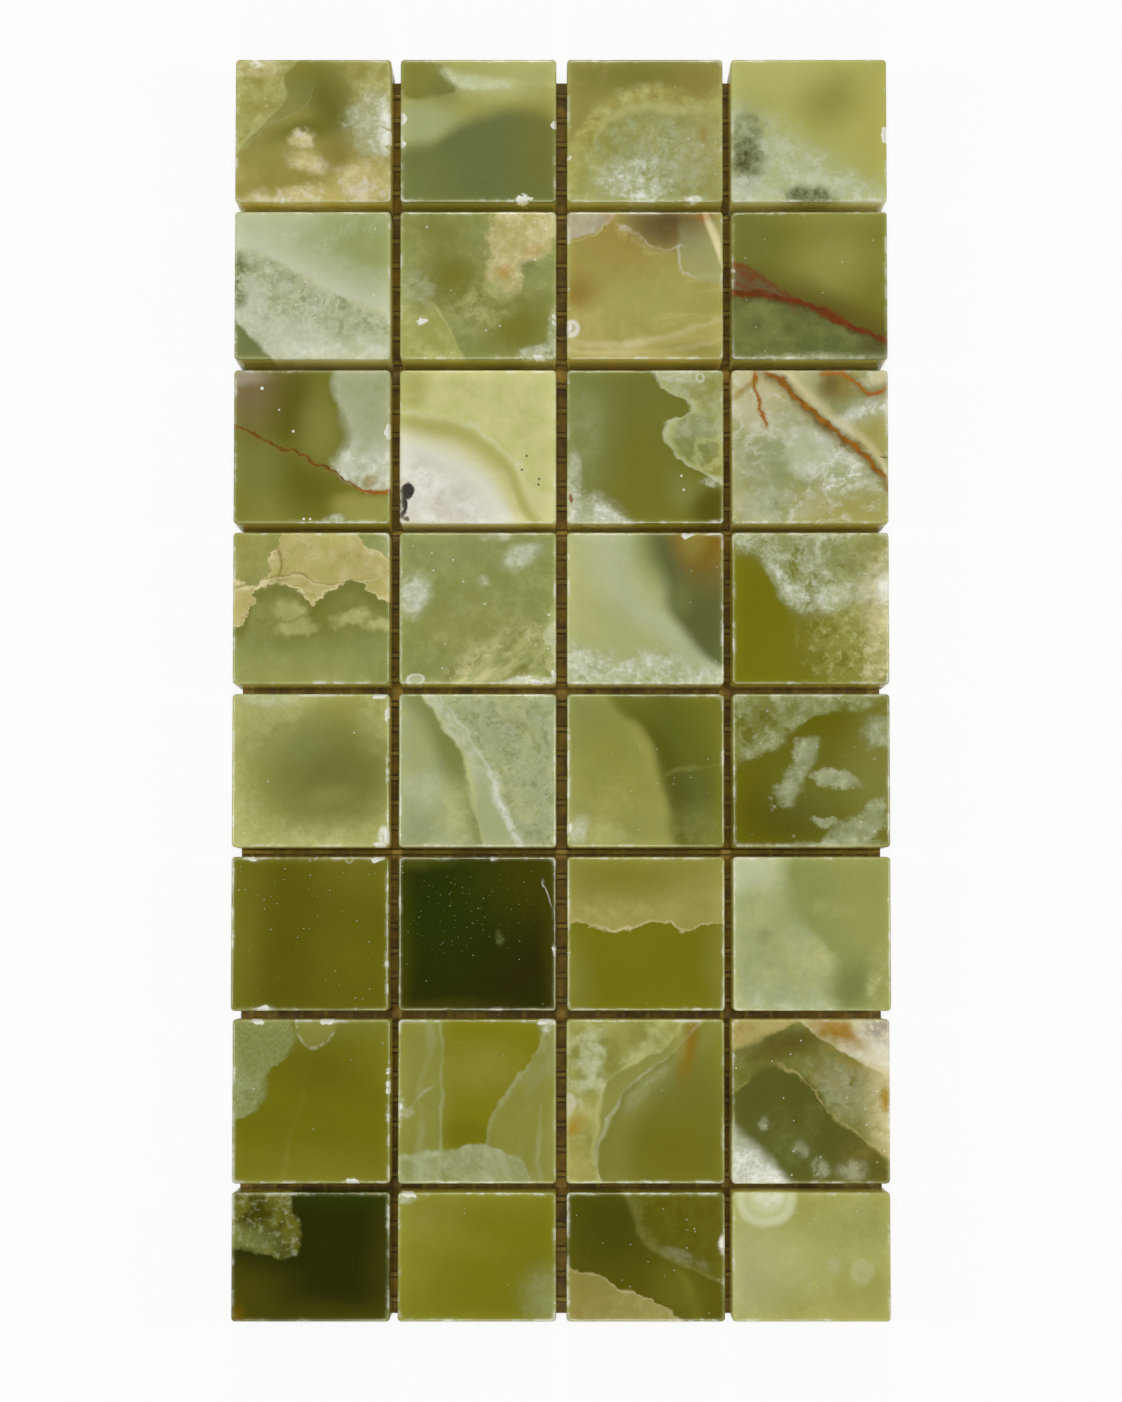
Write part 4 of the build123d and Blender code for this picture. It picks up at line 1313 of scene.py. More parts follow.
@figure
def r7_c3(f):
    """A pale mottled left side behind two soft arcs, olive on the right, touched with amber."""
    f.base("olive", 1.0)
    f.lay("fern", f.blob(0.6, 0.3, 0.25, 0.2, 40, 0.9), 0.4, 0.85)
    f.lay("gold", f.blob(0.7, 0.8, 0.35, 0.25, edge=0.9), 0.65, 0.9)
    f.lay("citron", f.blob(1.0, 0.15, 0.14, 0.25, edge=0.9), 0.5, 0.95)
    one = [
        (0.73, 0), (0.64, 0.15), (0.49, 0.25), (0.3, 0.38), (0.22, 0.49), (0.2, 0.64), (0.18, 0.77),
        (0.22, 1),
    ]
    two = [(0.85, 0), (0.67, 0.19), (0.51, 0.33), (0.36, 0.47), (0.25, 0.64), (0.2, 0.84), (0.22, 1)]
    f.lay("leaf", f.band(moved(two, 0.1, 0), 0.2, "v"), 0.35, 0.9)
    f.lay(
        "sage", f.clump(f.band(moved(two, 0.09, 0), 0.12, "v") * f.blob(0.5, 0.4, 0.2, 0.2), 7, 0.4), 0.45
    )
    f.lay("leaf", 1 - f.right(two, 0.03), 0.6, 0.92)
    outer = 1 - f.right(one, 0.018)
    f.lay("leaf", outer, 0.8, 0.95)
    f.lay("olive", outer * f.fog(4, 0.4, 0.66), 0.6, 1.1)
    f.lay("lime", outer * f.fog(6, 0.42, 0.72), 0.75)
    f.lay("mist", outer * f.blob(0.12, 0.34, 0.16, 0.3, -30, 0.9) * f.fog(6, 0.4, 0.66), 0.75, 1.05)
    f.lay("lime", f.strand(one, 0.025), 0.6)
    f.lay("mist", f.strand(two, 0.02), 0.55)
    f.lay("amber", f.blob(0.78, 0.17, 0.05, 0.18, -8, 0.9), 0.8, 0.85)
    f.lay("straw", f.blob(0.7, 0.12, 0.05, 0.1, 20, 0.8), 0.4)
    f.lay("straw", f.blob(0.08, 0.61, 0.12, 0.08, 30, 0.8), 0.6, 1.1)
    f.lay("amber", f.blob(0.04, 0.66, 0.1, 0.04, 40, 0.9), 0.7, 1.15)
    f.lay("shell", f.clump(f.blob(0.02, 0.52, 0.05, 0.07), 9), 0.5)
    f.lay("straw", f.blob(0.06, 0.86, 0.12, 0.12, edge=0.7), 0.6, 1.0)
    f.lay("frost", f.specks(17, 0.11, 0.75), 0.5)


@figure
def r7_c4(f):
    """A dark wedge under tan and cream corners, with frost at the lower left and amber flecks."""
    f.base("olive", 0.66)
    f.lay("moss", f.blob(0.4, 0.6, 0.4, 0.3, edge=0.9), 0.5, 0.78)
    f.lay("deep", f.blob(0.45, 0.55, 0.3, 0.25, edge=0.9), 0.5, 0.85)
    f.cloud("fern", f.blob(0.5, 0.7, 0.4, 0.2, 20, 0.8), 0.45, 4, 0.9)
    apex = [
        (0, 0.46), (0.085, 0.4), (0.16, 0.32), (0.24, 0.27), (0.37, 0.31), (0.525, 0.44), (0.62, 0.57),
        (0.78, 0.68), (0.91, 0.78), (1, 0.84),
    ]
    above = 1 - f.below(apex, 0.03)
    f.lay("olive", above, 0.75, 1.02)
    f.cloud("fern", above, 0.7, 5)
    f.cloud("umber", above * f.blob(0.25, 0.2, 0.24, 0.12, 15, 0.8), 0.7, 6)
    f.lay("umber", above * f.blob(0.34, 0.16, 0.2, 0.08, 10, 0.9), 0.4)
    right = f.fade([(0.85, 0), (0.84, 0.3), (0.84, 0.55), (0.95, 0.85), (1.1, 1)], 0.1, "v") * above
    f.lay("tan", right, 0.75, 0.92)
    f.lay("cream", f.clump(right * 0.85, 7, 0.4), 0.7)
    misty = f.blob(0.7, 0.42, 0.22, 0.15, -25, 0.8) * above
    f.lay("mist", f.clump(misty, 7, 0.4), 0.55)
    f.cloud("ochre", misty, 0.6, 7)
    f.cloud("ochre", f.blob(0.72, 0.24, 0.16, 0.08, -25, 0.7), 0.8, 8, 1.2)
    strip = 1 - f.below([(0, 0.16), (0.2, 0.11), (0.37, 0.05), (0.5, -0.05), (1, -0.4)], 0.02)
    f.lay("tan", strip, 0.85, 0.95)
    f.cloud("ochre", strip, 0.7, 7)
    nook = [(0, -0.4), (0.42, 0), (0.58, 0.135), (0.695, 0.21), (0.81, 0.26), (1, 0.36)]
    cream = 1 - f.below(nook, 0.03)
    f.lay("cream", cream, 0.75, 0.95)
    f.lay("snow", f.clump(cream * f.blob(0.92, 0.16, 0.22, 0.2, edge=0.8), 5, 0.45), 0.7, 0.97)
    f.cloud("ochre", cream * f.blob(0.64, 0.12, 0.16, 0.12, -25, 0.8), 0.9, 6)
    f.lay("amber", f.blob(0.68, 0.08, 0.17, 0.06, -25, 0.8, "ragged"), 0.85, 1.1)
    f.lay("rust", f.clump(f.blob(0.69, 0.07, 0.1, 0.04, -25, 0.7), 8), 0.3, 1.1)
    f.lay("mauve", f.clump(f.blob(0.96, 0.06, 0.12, 0.1, -30, 0.7), 12), 0.6, 0.8)
    f.lay("cream", f.streak(nook, 0.02), 0.7)
    f.lay("amber", f.blob(0.985, 0.49, 0.04, 0.08, edge=0.7, how="ragged"), 0.9, 1.2)
    f.lay("tan", f.streak(apex, 0.018, "frilly") * f.upto("u", 0.2, 0.4), 0.8)
    f.cloud("ochre", f.blob(0.85, 0.85, 0.2, 0.12, edge=0.8), 0.5, 6)
    frost = f.fade([(0, 0.665), (0.11, 0.77), (0.23, 0.86), (0.36, 1.0), (1, 1.7)], 0.07)
    f.lay("mist", frost, 0.65)
    f.cloud("snow", frost, 1.0, 5)
    f.lay("snow", f.clump(frost, 5, 0.45), 0.6)
    spots = f.blob(0.21, 0.65, 0.03, 0.05, 0, 0.5).most(f.blob(0.44, 0.79, 0.05, 0.06, 0, 0.6))
    spots = spots.most(f.blob(0.57, 0.9, 0.07, 0.07, 0, 0.6)).most(f.blob(0.76, 0.9, 0.1, 0.06, 0, 0.6))
    f.lay("mist", f.clump(spots * 0.85, 14, 0.3), 0.6)
    f.lay("snow", f.specks(17, 0.12, 0.65), 0.7)


@figure
def r8_c1(f):
    """Dark, with a mossy crystalline crust at the upper left and an amber lower corner."""
    f.base("dark", 0.96)
    f.lay("deep", f.blob(0.04, 0.78, 0.3, 0.2, edge=0.9), 0.8, 0.75)
    f.lay("deep", f.blob(1.0, 0.6, 0.12, 0.6, edge=0.9), 0.5, 0.65)
    f.lay("deep", f.blob(0.6, 1.02, 0.6, 0.14, edge=0.9), 0.65, 0.75)
    f.lay("bottle", f.blob(0.75, 0.0, 0.4, 0.1, edge=0.9), 0.6, 1.5)
    f.lay("amber", f.blob(0.02, 0.97, 0.07, 0.08, edge=0.9), 0.5, 0.7)
    side = [(0.375, 0), (0.38, 0.14), (0.42, 0.24), (0.43, 0.45), (0.4, 0.6), (0.4, 1)]
    foot = [(0, 0.425), (0.2, 0.47), (0.33, 0.51), (0.43, 0.46), (0.5, 0.4), (1, 0.2)]
    crust = (1 - f.right(side, 0.015, "frilly")) * (1 - f.below(foot, 0.015, "frilly"))
    f.lay("deep", crust, 0.85, 0.6)
    f.lay("citron", crust * f.fog(8, 0.42, 0.62, 6.0), 0.6, 0.7)
    f.lay("fern", crust * f.blob(0.08, 0.38, 0.22, 0.12, -12, 0.7), 0.55, 0.9)
    f.lay("sage", crust * f.fog(24, 0.5, 0.68, 6.0), 0.6, 0.8)
    f.lay("mist", f.strand(moved(side, -0.02, 0), 0.04, "frilly") * crust * f.fog(20, 0.46, 0.64), 0.5)


@figure
def r8_c2(f):
    """Saturated golden olive, paler at the left and foggy at the lower right."""
    f.base("gold", 1.0)
    f.lay("citron", f.blob(-0.02, 0.35, 0.28, 0.6, edge=0.9), 0.75, 1.0)
    f.lay("citron", f.blob(0.5, -0.02, 0.6, 0.16, edge=0.9), 0.6, 0.95)
    f.lay("citron", f.blob(0.3, 0.34, 0.3, 0.12, -15, 0.9), 0.35, 1.0)
    f.lay("leaf", f.clump(f.blob(0.15, 0.15, 0.25, 0.2, edge=0.9) * 0.85, 5, 0.45), 0.3, 0.95)
    f.lay("fern", f.blob(0.93, 0.82, 0.12, 0.22, edge=0.8), 0.4, 1.0)
    f.lay("sage", f.clump(f.blob(0.93, 0.82, 0.16, 0.24, edge=0.7), 4, 0.45), 0.4, 0.9)
    f.lay("citron", f.blob(0.4, 1.0, 0.5, 0.08, edge=0.9), 0.4, 0.95)
    f.lay("frost", f.clump(f.blob(0.04, 0.03, 0.08, 0.04, edge=0.6), 9), 0.5)
    f.lay("frost", f.specks(15, 0.1, 0.8), 0.5)


@figure
def r8_c3(f):
    """Dark olive cut by a facet line, with a tan corner at the lower left."""
    f.base("deep", 0.92)
    f.lay("bottle", f.blob(0.16, 0.2, 0.3, 0.3, edge=0.9), 0.35, 2.2)
    f.lay("dark", f.blob(0.3, 0.3, 0.2, 0.3, edge=0.9), 0.25)
    facet = [(0.38, 0), (0.44, 0.23), (0.51, 0.39), (0.665, 0.54), (0.83, 0.62), (1.0, 0.7), (1.5, 1)]
    grey = f.right(facet, 0.04)
    f.lay("deep", grey, 0.5, 1.0)
    f.lay("citron", f.clump(grey * 0.75, 8, 0.4), 0.3, 0.85)
    f.lay("leaf", f.strand(facet, 0.03), 0.25, 0.8)
    f.lay("leaf", f.clump(f.band(moved(facet, 0.03, 0), 0.09, "v"), 7, 0.4), 0.2)
    f.lay("mist", f.clump(f.blob(0.76, 0.52, 0.16, 0.05, -25, 0.7), 10), 0.3)
    f.lay("mist", grey * f.specks(20, 0.16, 0.7), 0.5)
    f.lay("snow", f.clump(f.blob(0.98, 0.39, 0.035, 0.08), 10), 0.7)
    f.lay("citron", f.blob(0.72, 0.78, 0.16, 0.2, 20, 0.8), 0.4, 0.75)
    f.lay(
        "citron",
        f.strand([(0.7, 0), (0.72, 0.6), (0.78, 0.75), (0.8, 1)], 0.05) * f.upto("v", 0.55, 0.7),
        0.4,
        1.0,
    )
    edge = [
        (0, 0.56), (0.09, 0.605), (0.24, 0.66), (0.34, 0.74), (0.44, 0.77), (0.55, 0.84), (0.665, 0.93),
        (0.78, 1.02), (1, 1.2),
    ]
    tan = f.below(edge, 0.012, "frilly")
    f.lay("straw", tan, 0.9, 0.72)
    f.lay("tan", f.clump(tan * f.blob(0.4, 1.0, 0.4, 0.25, edge=0.9), 4, 0.45), 0.6, 0.9)
    f.lay("ochre", tan * f.blob(0.08, 0.8, 0.16, 0.2, edge=0.9), 0.3, 1.1)
    f.lay("cream", f.streak(moved(edge, 0, 0.01), 0.018, "frilly") * tan, 0.5)
    f.lay("frost", f.specks(18, 0.11, 0.7), 0.5)


@figure
def r8_c4(f):
    """Light yellow-green with agate rings at the top left and a faint small ring."""
    f.base("leaf", 1.0)
    f.cloud("lime", None, 0.45, 3, 0.95)
    f.lay("mist", f.blob(0.1, 0.6, 0.25, 0.3, edge=0.9), 0.3)
    f.lay("fern", f.blob(0.75, 0.3, 0.3, 0.14, edge=0.9), 0.3, 1.05)
    f.lay("lime", f.blob(0.45, 0.5, 0.3, 0.2, edge=0.9), 0.3)
    f.lay("lime", f.blob(0.22, 0.02, 0.18, 0.22, 0, 0.15, "soft"), 0.85, 1.05)
    f.lay("frost", f.ring(0.22, 0.02, 0.15, 0.06, 1.23, "soft"), 0.45)
    f.lay("leaf", f.ring(0.22, 0.02, 0.115, 0.025, 1.23, "wavy"), 0.25, 1.1)
    f.lay("frost", f.blob(0.22, 0.02, 0.1, 0.12, 0, 0.4), 0.45)
    f.lay("snow", f.clump(f.blob(0.24, 0.03, 0.09, 0.08), 8), 0.4)
    f.lay("lime", f.clump(f.blob(0.82, 0.62, 0.08, 0.1, 0, 0.3), 12, 0.4), 0.4)
    f.lay("mist", f.blob(0.82, 0.62, 0.07, 0.085, 0, 0.2, "wavy"), 0.25)
    f.lay("mist", f.blob(0.63, 0.57, 0.045, 0.06, 0, 0.4, "wavy"), 0.3)
    f.lay("straw", f.blob(0.7, 0.98, 0.4, 0.1, edge=0.9), 0.35, 1.1)
    f.lay("frost", f.specks(16, 0.11, 0.75), 0.5)


NICKS = {
    "r1_c1": (("E", 0.55, 1.5, 0.7), ("N", 0.12, 0.9, 0.3), ("S", 0.3, 0.8, 0.2)),
    "r1_c2": (("W", 0.41, 1.6, 0.6), ("W", 0.6, 0.9, 0.5), ("E", 0.46, 1.0, 0.5), ("S", 0.785, 1.3, 0.6)),
    "r1_c3": (("S", 0.81, 1.0, 0.4), ("W", 0.7, 1.2, 0.3)),
    "r1_c4": (("E", 0.53, 1.6, 0.7), ("N", 0.4, 0.8, 0.2)),
    "r2_c2": (("S", 0.9, 1.2, 0.4), ("E", 0.74, 1.4, 0.3)),
    "r2_c3": (("W", 0.8, 1.0, 0.4),),
    "r2_c4": (("S", 0.27, 1.4, 0.16), ("S", 0.56, 1.8, 0.14), ("W", 0.4, 1.0, 0.2)),
    "r3_c1": (("E", 0.4, 1.6, 0.6),),
    "r3_c2": (("W", 0.92, 0.8, 0.3),),
    "r4_c2": (("S", 0.88, 1.6, 0.4), ("E", 0.95, 1.0, 0.4)),
    "r4_c3": (("N", 0.776, 1.3, 0.7),),
    "r4_c4": (("E", 0.36, 1.4, 0.4),),
    "r5_c1": (
        ("N", 0.95, 1.2, 0.6), ("E", 0.12, 1.2, 0.5), ("E", 0.5, 3.0, 0.3), ("E", 0.94, 1.2, 0.6),
        ("S", 0.95, 1.0, 0.5),
    ),
    "r5_c3": (("W", 0.89, 1.0, 0.4),),
    "r6_c1": (
        ("N", 0.94, 1.3, 0.6), ("N", 0.12, 1.5, 0.3), ("S", 0.2, 1.4, 0.5), ("E", 0.33, 2.6, 0.16),
        ("E", 0.7, 1.9, 0.2),
    ),
    "r6_c2": (("N", 0.6, 1.0, 0.3), ("E", 0.6, 1.2, 0.3)),
    "r7_c1": (
        ("N", 0.15, 1.2, 0.5), ("N", 0.6, 1.5, 0.5), ("E", 0.31, 0.7, 0.3), ("E", 0.41, 1.7, 0.32),
        ("E", 0.6, 1.1, 0.24), ("S", 0.77, 1.3, 0.5),
    ),
    "r7_c2": (("N", 0.93, 1.2, 0.5), ("W", 0.53, 1.0, 0.3)),
    "r8_c2": (("N", 0.06, 1.2, 0.6),),
    "r8_c3": (("E", 0.39, 1.0, 0.5),),
}
OUTLINE_POINTS = 300


def outline(half, corner):
    """Points evenly spaced round an oblong with quarter-circle corners, anticlockwise from the right."""
    turn = np.linspace(0, np.pi / 2, 10)
    angles = np.concatenate([turn + quarter * np.pi / 2 for quarter in range(4)])
    signs = np.repeat([[1, 1], [-1, 1], [-1, -1], [1, -1]], len(turn), axis=0)
    points = signs * (half - corner) + corner * np.stack([np.cos(angles), np.sin(angles)], axis=1)
    closed = np.vstack([points, points[:1]])
    run = np.concatenate([[0], np.cumsum(np.hypot(*np.diff(closed, axis=0).T))])
    even = np.arange(OUTLINE_POINTS) / OUTLINE_POINTS * run[-1]
    return np.stack([np.interp(even, run, closed[:, axis]) for axis in (0, 1)], axis=1), even, run[-1]


def bites(name, points, along, whole, half, shape, seed):
    """How much deeper than the plain arris the edge is worn at each point of the outline.

    Each named nick is a parabola of its half-length and depth on its edge; stray nicks are bell
    curves at random places, most of them slight.
    """
    stray = np.random.default_rng(seed)
    middles = stray.uniform(0, whole, 46)
    depths = shape.nick * stray.uniform(0, 1, 46) ** 3
    widths = stray.uniform(0.15, 0.7, 46) * MM
    gap = np.abs(along[:, None] - middles)
    gap = np.minimum(gap, whole - gap)
    worn = (depths * np.exp(-((gap / widths) ** 2))).max(axis=1)
    for edge, place, reach, depth in NICKS.get(name, ()):
        axis = 1 if edge in "NS" else 0
        sign = 1 if edge in "NE" else -1
        on = points[:, axis] * sign > half[axis] - shape.corner * 0.9
        middle = (2 * place - 1) * half[0] if axis else (1 - 2 * place) * half[1]
        gap = np.abs(points[:, 1 - axis] - middle) / (reach * MM)
        ripple = 0.75 + 0.25 * np.sin(gap * 6 + seed)
        worn = np.maximum(worn, on * depth * MM * np.clip(1 - gap**2, 0, 1) * ripple)
    return worn


def chip_mesh(name, low, high, shape, seed):
    """One chip: the outline carried up the sides, over the worn edge and in to the middle of the face.

    A ring lies inside the outline by its inset q, each side drawn in by q; over the edge, of radius r
    at that point, q = r (1 - cos a) and the height is top - r (1 - sin a) for a from 0 to 90 degrees.
    """
    low, high = np.array(low), np.array(high)
    half, middle = (high - low)[:2] / 2, (high + low)[:2] / 2
    points, along, whole = outline(half, shape.corner)
    bite = bites(name, points, along, whole, half, shape, seed)
    radius = shape.arris + bite
    none = np.zeros(OUTLINE_POINTS)
    floor, top = none + low[2], none + high[2]
    insets = [none + 4 * MM, none + 0.2 * MM, none, none]
    heights = [floor, floor, floor + 0.2 * MM, floor + 0.6 * (top - floor)]
    worn = [none, none, none, none]
    hurt = [none, none, none, none]
    # Each arris ring's weight of the pale edge line: partly rubbed frosted wear and partly a painted
    # highlight, strongest just past the middle of the curve.
    for angle, rub_and_sheen in zip(np.radians((0, 18, 36, 54, 72, 90)), (0, 0.2, 0.6, 1, 0.8, 0.4)):
        insets.append(radius * (1 - np.cos(angle)))
        heights.append(top - radius * (1 - np.sin(angle)))
        worn.append(none + rub_and_sheen)
        hurt.append(np.clip(bite / (0.3 * MM), 0, 1))
    for inset, rub_and_sheen in ((0.1, 0.2), (0.4, 0.0), (2.4, 0.0)):
        insets.append(radius + inset * MM)
        heights.append(top)
        worn.append(none + rub_and_sheen)
        hurt.append(np.clip(bite / (0.4 * MM), 0, 1) * rub_and_sheen)
    insets, heights = np.array(insets), np.array(heights)
    drawn = points[None] * (1 - insets[..., None] / half)
    rings = np.concatenate([drawn + middle, heights[..., None]], axis=-1)
    count = len(rings)
    poles = np.array([[*middle, low[2]], [*middle, high[2]]])
    verts = np.concatenate([rings.reshape(-1, 3), poles])
    around = np.arange(OUTLINE_POINTS)
    after = (around + 1) % OUTLINE_POINTS
    start = np.arange(count - 1)[:, None] * OUTLINE_POINTS
    quads = np.stack(
        [start + around, start + after, start + OUTLINE_POINTS + after, start + OUTLINE_POINTS + around],
        axis=-1,
    )
    last = (count - 1) * OUTLINE_POINTS
    south, north = count * OUTLINE_POINTS, count * OUTLINE_POINTS + 1
    caps = np.concatenate(
        [
            np.stack([after, around, np.full_like(around, south)], axis=-1),
            np.stack([last + around, last + after, np.full_like(around, north)], axis=-1),
        ]
    )
    mesh = bpy.data.meshes.new(name)
    mesh.from_pydata(verts.tolist(), [], quads.reshape(-1, 4).tolist() + caps.tolist())
    for label, values in (("worn", worn), ("bruise", hurt)):
        layer = mesh.attributes.new(label, "FLOAT", "POINT")
        layer.data.foreach_set("value", np.concatenate([np.ravel(values), [0, 0]]).astype(np.float32))
    unwrap(mesh, middle, half, low[2], high[2], count)
    smooth(mesh, 40)
    return mesh


def unwrap(mesh, middle, half, floor, top, count):
    """The chip's own picture: the face a square over 0.70 of it, the sides four strips beside it and
    the back a small square above.
    """
    corners = np.empty(len(mesh.loops), dtype=np.int32)
    mesh.loops.foreach_get("vertex_index", corners)
    sizes = np.empty(len(mesh.polygons), dtype=np.int32)
    mesh.polygons.foreach_get("loop_total", sizes)
    co = np.empty(len(mesh.vertices) * 3)
    mesh.vertices.foreach_get("co", co)
    co = co.reshape(-1, 3)
    share = (co[:, :2] - middle) / (2 * half) + 0.5
    lift = (co[:, 2] - floor) / (top - floor)
    ring = np.concatenate(
        [
            np.repeat(np.arange(count - 1), OUTLINE_POINTS),
            np.zeros(OUTLINE_POINTS),
            np.full(OUTLINE_POINTS, count),
        ]
    )
    owner = np.repeat(np.arange(len(sizes)), sizes)
    level = ring[owner]
    sums = np.stack([np.bincount(owner, share[corners, axis] - 0.5) / sizes for axis in (0, 1)], axis=1)
    upright = np.abs(sums[:, 0]) < np.abs(sums[:, 1])
    far = np.where(upright, sums[:, 1], sums[:, 0]) > 0
    run = np.where(upright[owner], share[corners, 0], share[corners, 1])
    side = np.stack(
        [
            0.735 + 0.13 * upright[owner] + 0.115 * lift[corners],
            0.01 + 0.355 * far[owner] + 0.34 * run,
        ],
        axis=1,
    )
    face = 0.015 + 0.69 * share[corners]
    back = np.array([0.015, 0.75]) + 0.22 * share[corners]
    spots = np.where((level >= 6)[:, None], face, np.where((level < 1)[:, None], back, side))
    layer = mesh.uv_layers.new(name="OFBake")
    layer.data.foreach_set("uv", spots.astype(np.float32).ravel())


def smooth(mesh, degrees):
    """Smooth shading, with a sharp break where faces meet more steeply than that."""
    mesh.polygons.foreach_set("use_smooth", np.ones(len(mesh.polygons), dtype=bool))
    mesh.set_sharp_from_angle(angle=math.radians(degrees))
    mesh.update()


def yarn_lines(first, last, start, pitch, width):
    """Grid lines across a row of yarns, close together over each yarn and sparse between."""
    offsets = np.array([-0.5, -0.43, -0.25, 0, 0.25, 0.43, 0.5]) * width
    middles = np.arange(start, last + pitch, pitch)
    lines = np.concatenate([(middles[:, None] + offsets).ravel(), middles + pitch / 2, [first, last]])
    return np.unique(np.round(lines[(lines >= first) & (lines <= last)], 7))


def net_mesh(name, low, high, shape, across, down):
    """One band of net: two heights over one grid, joined round the border.

    Above the film z rises over each cross yarn, and less over each lengthwise one, as half an
    ellipse of the yarn's width; below the film it falls in the same way.
    """
    thick = high[2] - low[2]
    x = yarn_lines(low[0], high[0], across, shape.pitch, shape.yarn)
    y = yarn_lines(low[1], high[1], down, shape.pitch, shape.yarn)

    def bump(lines, start):
        gap = np.abs((lines - start + shape.pitch / 2) % shape.pitch - shape.pitch / 2)
        return np.sqrt(np.clip(1 - (gap / (shape.yarn / 2)) ** 2, 0, 1))

    weft, warp = bump(y, down)[:, None], bump(x, across)[None]
    wander = 0.02 * MM * np.sin(x[None] * 900 + 2 * np.sin(y[:, None] * 700)) * np.sin(y[:, None] * 1100)
    film = np.clip(wander, -0.015 * MM, 0.015 * MM) * (1 - np.maximum(weft, warp))
    upper = low[2] + thick * (0.57 + 0.43 * np.maximum(weft, 0.5 * warp)) + film
    under = low[2] + thick * (0.43 - 0.43 * np.maximum(warp, 0.5 * weft)) + film
    grid = np.broadcast_arrays(x[None], y[:, None], upper)
    top = np.stack(grid, axis=-1).reshape(-1, 3)
    bottom = np.stack(np.broadcast_arrays(x[None], y[:, None], under), axis=-1).reshape(-1, 3)
    index = np.arange(len(x) * len(y)).reshape(len(y), len(x))
    quads = np.stack(
        [index[:-1, :-1], index[:-1, 1:], index[1:, 1:], index[1:, :-1]], axis=-1
    ).reshape(-1, 4)
    border = np.concatenate([index[0, :-1], index[:-1, -1], index[-1, :0:-1], index[:0:-1, 0]])
    beyond = np.roll(border, -1)
    lower = index.size
    walls = np.stack([border + lower, beyond + lower, beyond, border], axis=-1)
    mesh = bpy.data.meshes.new(name)
    faces = np.concatenate([quads, quads[:, ::-1] + lower, walls])
    mesh.from_pydata(np.concatenate([top, bottom]).tolist(), [], faces.tolist())
    smooth(mesh, 60)
    return mesh


def shader(name):
    """A fresh material's node tree and its main shader."""
    material = bpy.data.materials.new(name)
    material.use_nodes = True
    return material, material.node_tree, material.node_tree.nodes["Principled BSDF"]


def stone(name, low, high, colours):
    """Polished onyx with the chip's own figure, a little subsurface light coming through it and a painted
    glow on its upper sides.
    """
    material, tree, surface = shader("onyx_" + name)
    drawn = Figure(tree, colours, low, high)
    FIGURES[name](drawn)
    colour, rough, glow = drawn.finish()
    tree.links.new(colour.socket, surface.inputs["Base Color"])
    tree.links.new(rough.socket, surface.inputs["Roughness"])
    # The painted glow of the upper sides feeds the emission.
    tree.links.new(glow.socket, surface.inputs["Emission Color"])
    surface.inputs["Emission Strength"].default_value = 1.0
    surface.inputs["Subsurface Weight"].default_value = 0.15
    surface.inputs["Subsurface Radius"].default_value = (1.0, 0.95, 0.5)
    surface.inputs["Subsurface Scale"].default_value = 1.2 * MM
    return material


def netting(colours, shape, across, down):
    """Brown glue over paler yarn, blotched, with a painted shadow line beside each cross yarn."""
    material, tree, surface = shader("net")
    place = coordinates(tree)
    x, y = place.parts()[:2]

    def nearest(value, start):
        """Distance to the nearest yarn of a row."""
        turns = (value - start) / shape.pitch
        return turns.maths("PINGPONG", turns, 0.5) * shape.pitch

    weft, warp = nearest(y, down), nearest(x, across)
    blots = place.noise(160, 4.0)
    fibres = place.noise(1400, 3.0, 0.7)
    yarn = weft.least(warp).step(shape.yarn * 0.55, shape.yarn * 0.3)
    lumps = place.noise(520, 3.0).step(0.4, 0.62)
    colour = (blots.step(0.42, 0.64) * 0.6).mix(linear(colours, "glue"), linear(colours, "umber"))
    colour = (yarn * (fibres * 0.8 + 0.1)).mix(colour, linear(colours, "yarn"))
    # Painted shadow: a dark line beside each cross yarn, where the yarn's edge would shade the glue.
    seam = abs(weft - shape.yarn * 0.6).step(shape.yarn * 0.3, 0.0)
    colour = (seam * (lumps * 0.6 + 0.3)).mix(colour, linear(colours, "umber", 0.3))
    colour = colour * (fibres * 0.4 + 0.5 + lumps * 0.35)
    bump = place.node("ShaderNodeBump", {}, {"Height": fibres, "Strength": 0.3, "Distance": 0.05 * MM})
    tree.links.new(colour.socket, surface.inputs["Base Color"])
    tree.links.new((blots * 0.3 + 0.5).socket, surface.inputs["Roughness"])
    tree.links.new(bump.socket, surface.inputs["Normal"])
    return material


def put(name, mesh, material, node):
    """A finished piece in the place of one node of the frame."""
    mesh.materials.append(material)
    piece = bpy.data.objects.new(name, mesh)
    bpy.context.scene.collection.objects.link(piece)
    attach(piece, "root")
    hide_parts(node)


class ONYX_OT_chips(bpy.types.Operator):
    """Lay the polished chips over the frame"""

    bl_idname = "onyx.chips"
    bl_label = "Chips"

    def execute(self, context):
        sheet = context.scene.onyx_sheet
        for seed, name in enumerate(FIGURES):
            low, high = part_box("chip_" + name)
            mesh = chip_mesh(name, low, high, sheet.shape, seed)
            put("onyx_" + name, mesh, stone(name, low, high, sheet.colours), "chip_" + name)
        return {"FINISHED"}


class ONYX_OT_net(bpy.types.Operator):
    """Lay the four bands of net under the chips"""

    bl_idname = "onyx.net"
    bl_label = "Net"

    def execute(self, context):
        sheet = context.scene.onyx_sheet
        low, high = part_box("net_band_2")
        pitch = sheet.shape.pitch
        down = low[1] + pitch / 2
        down -= pitch * 40
        across = (low[0] + high[0]) / 2 + pitch / 2
        across -= pitch * 20
        material = netting(sheet.colours, sheet.shape, across, down)
        for number in range(1, 5):
            node = f"net_band_{number}"
            low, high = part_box(node)
            name = f"netting_{number}"
            mesh = net_mesh(name, low, high, sheet.shape, across, down)
            put(name, mesh, material, node)
        return {"FINISHED"}


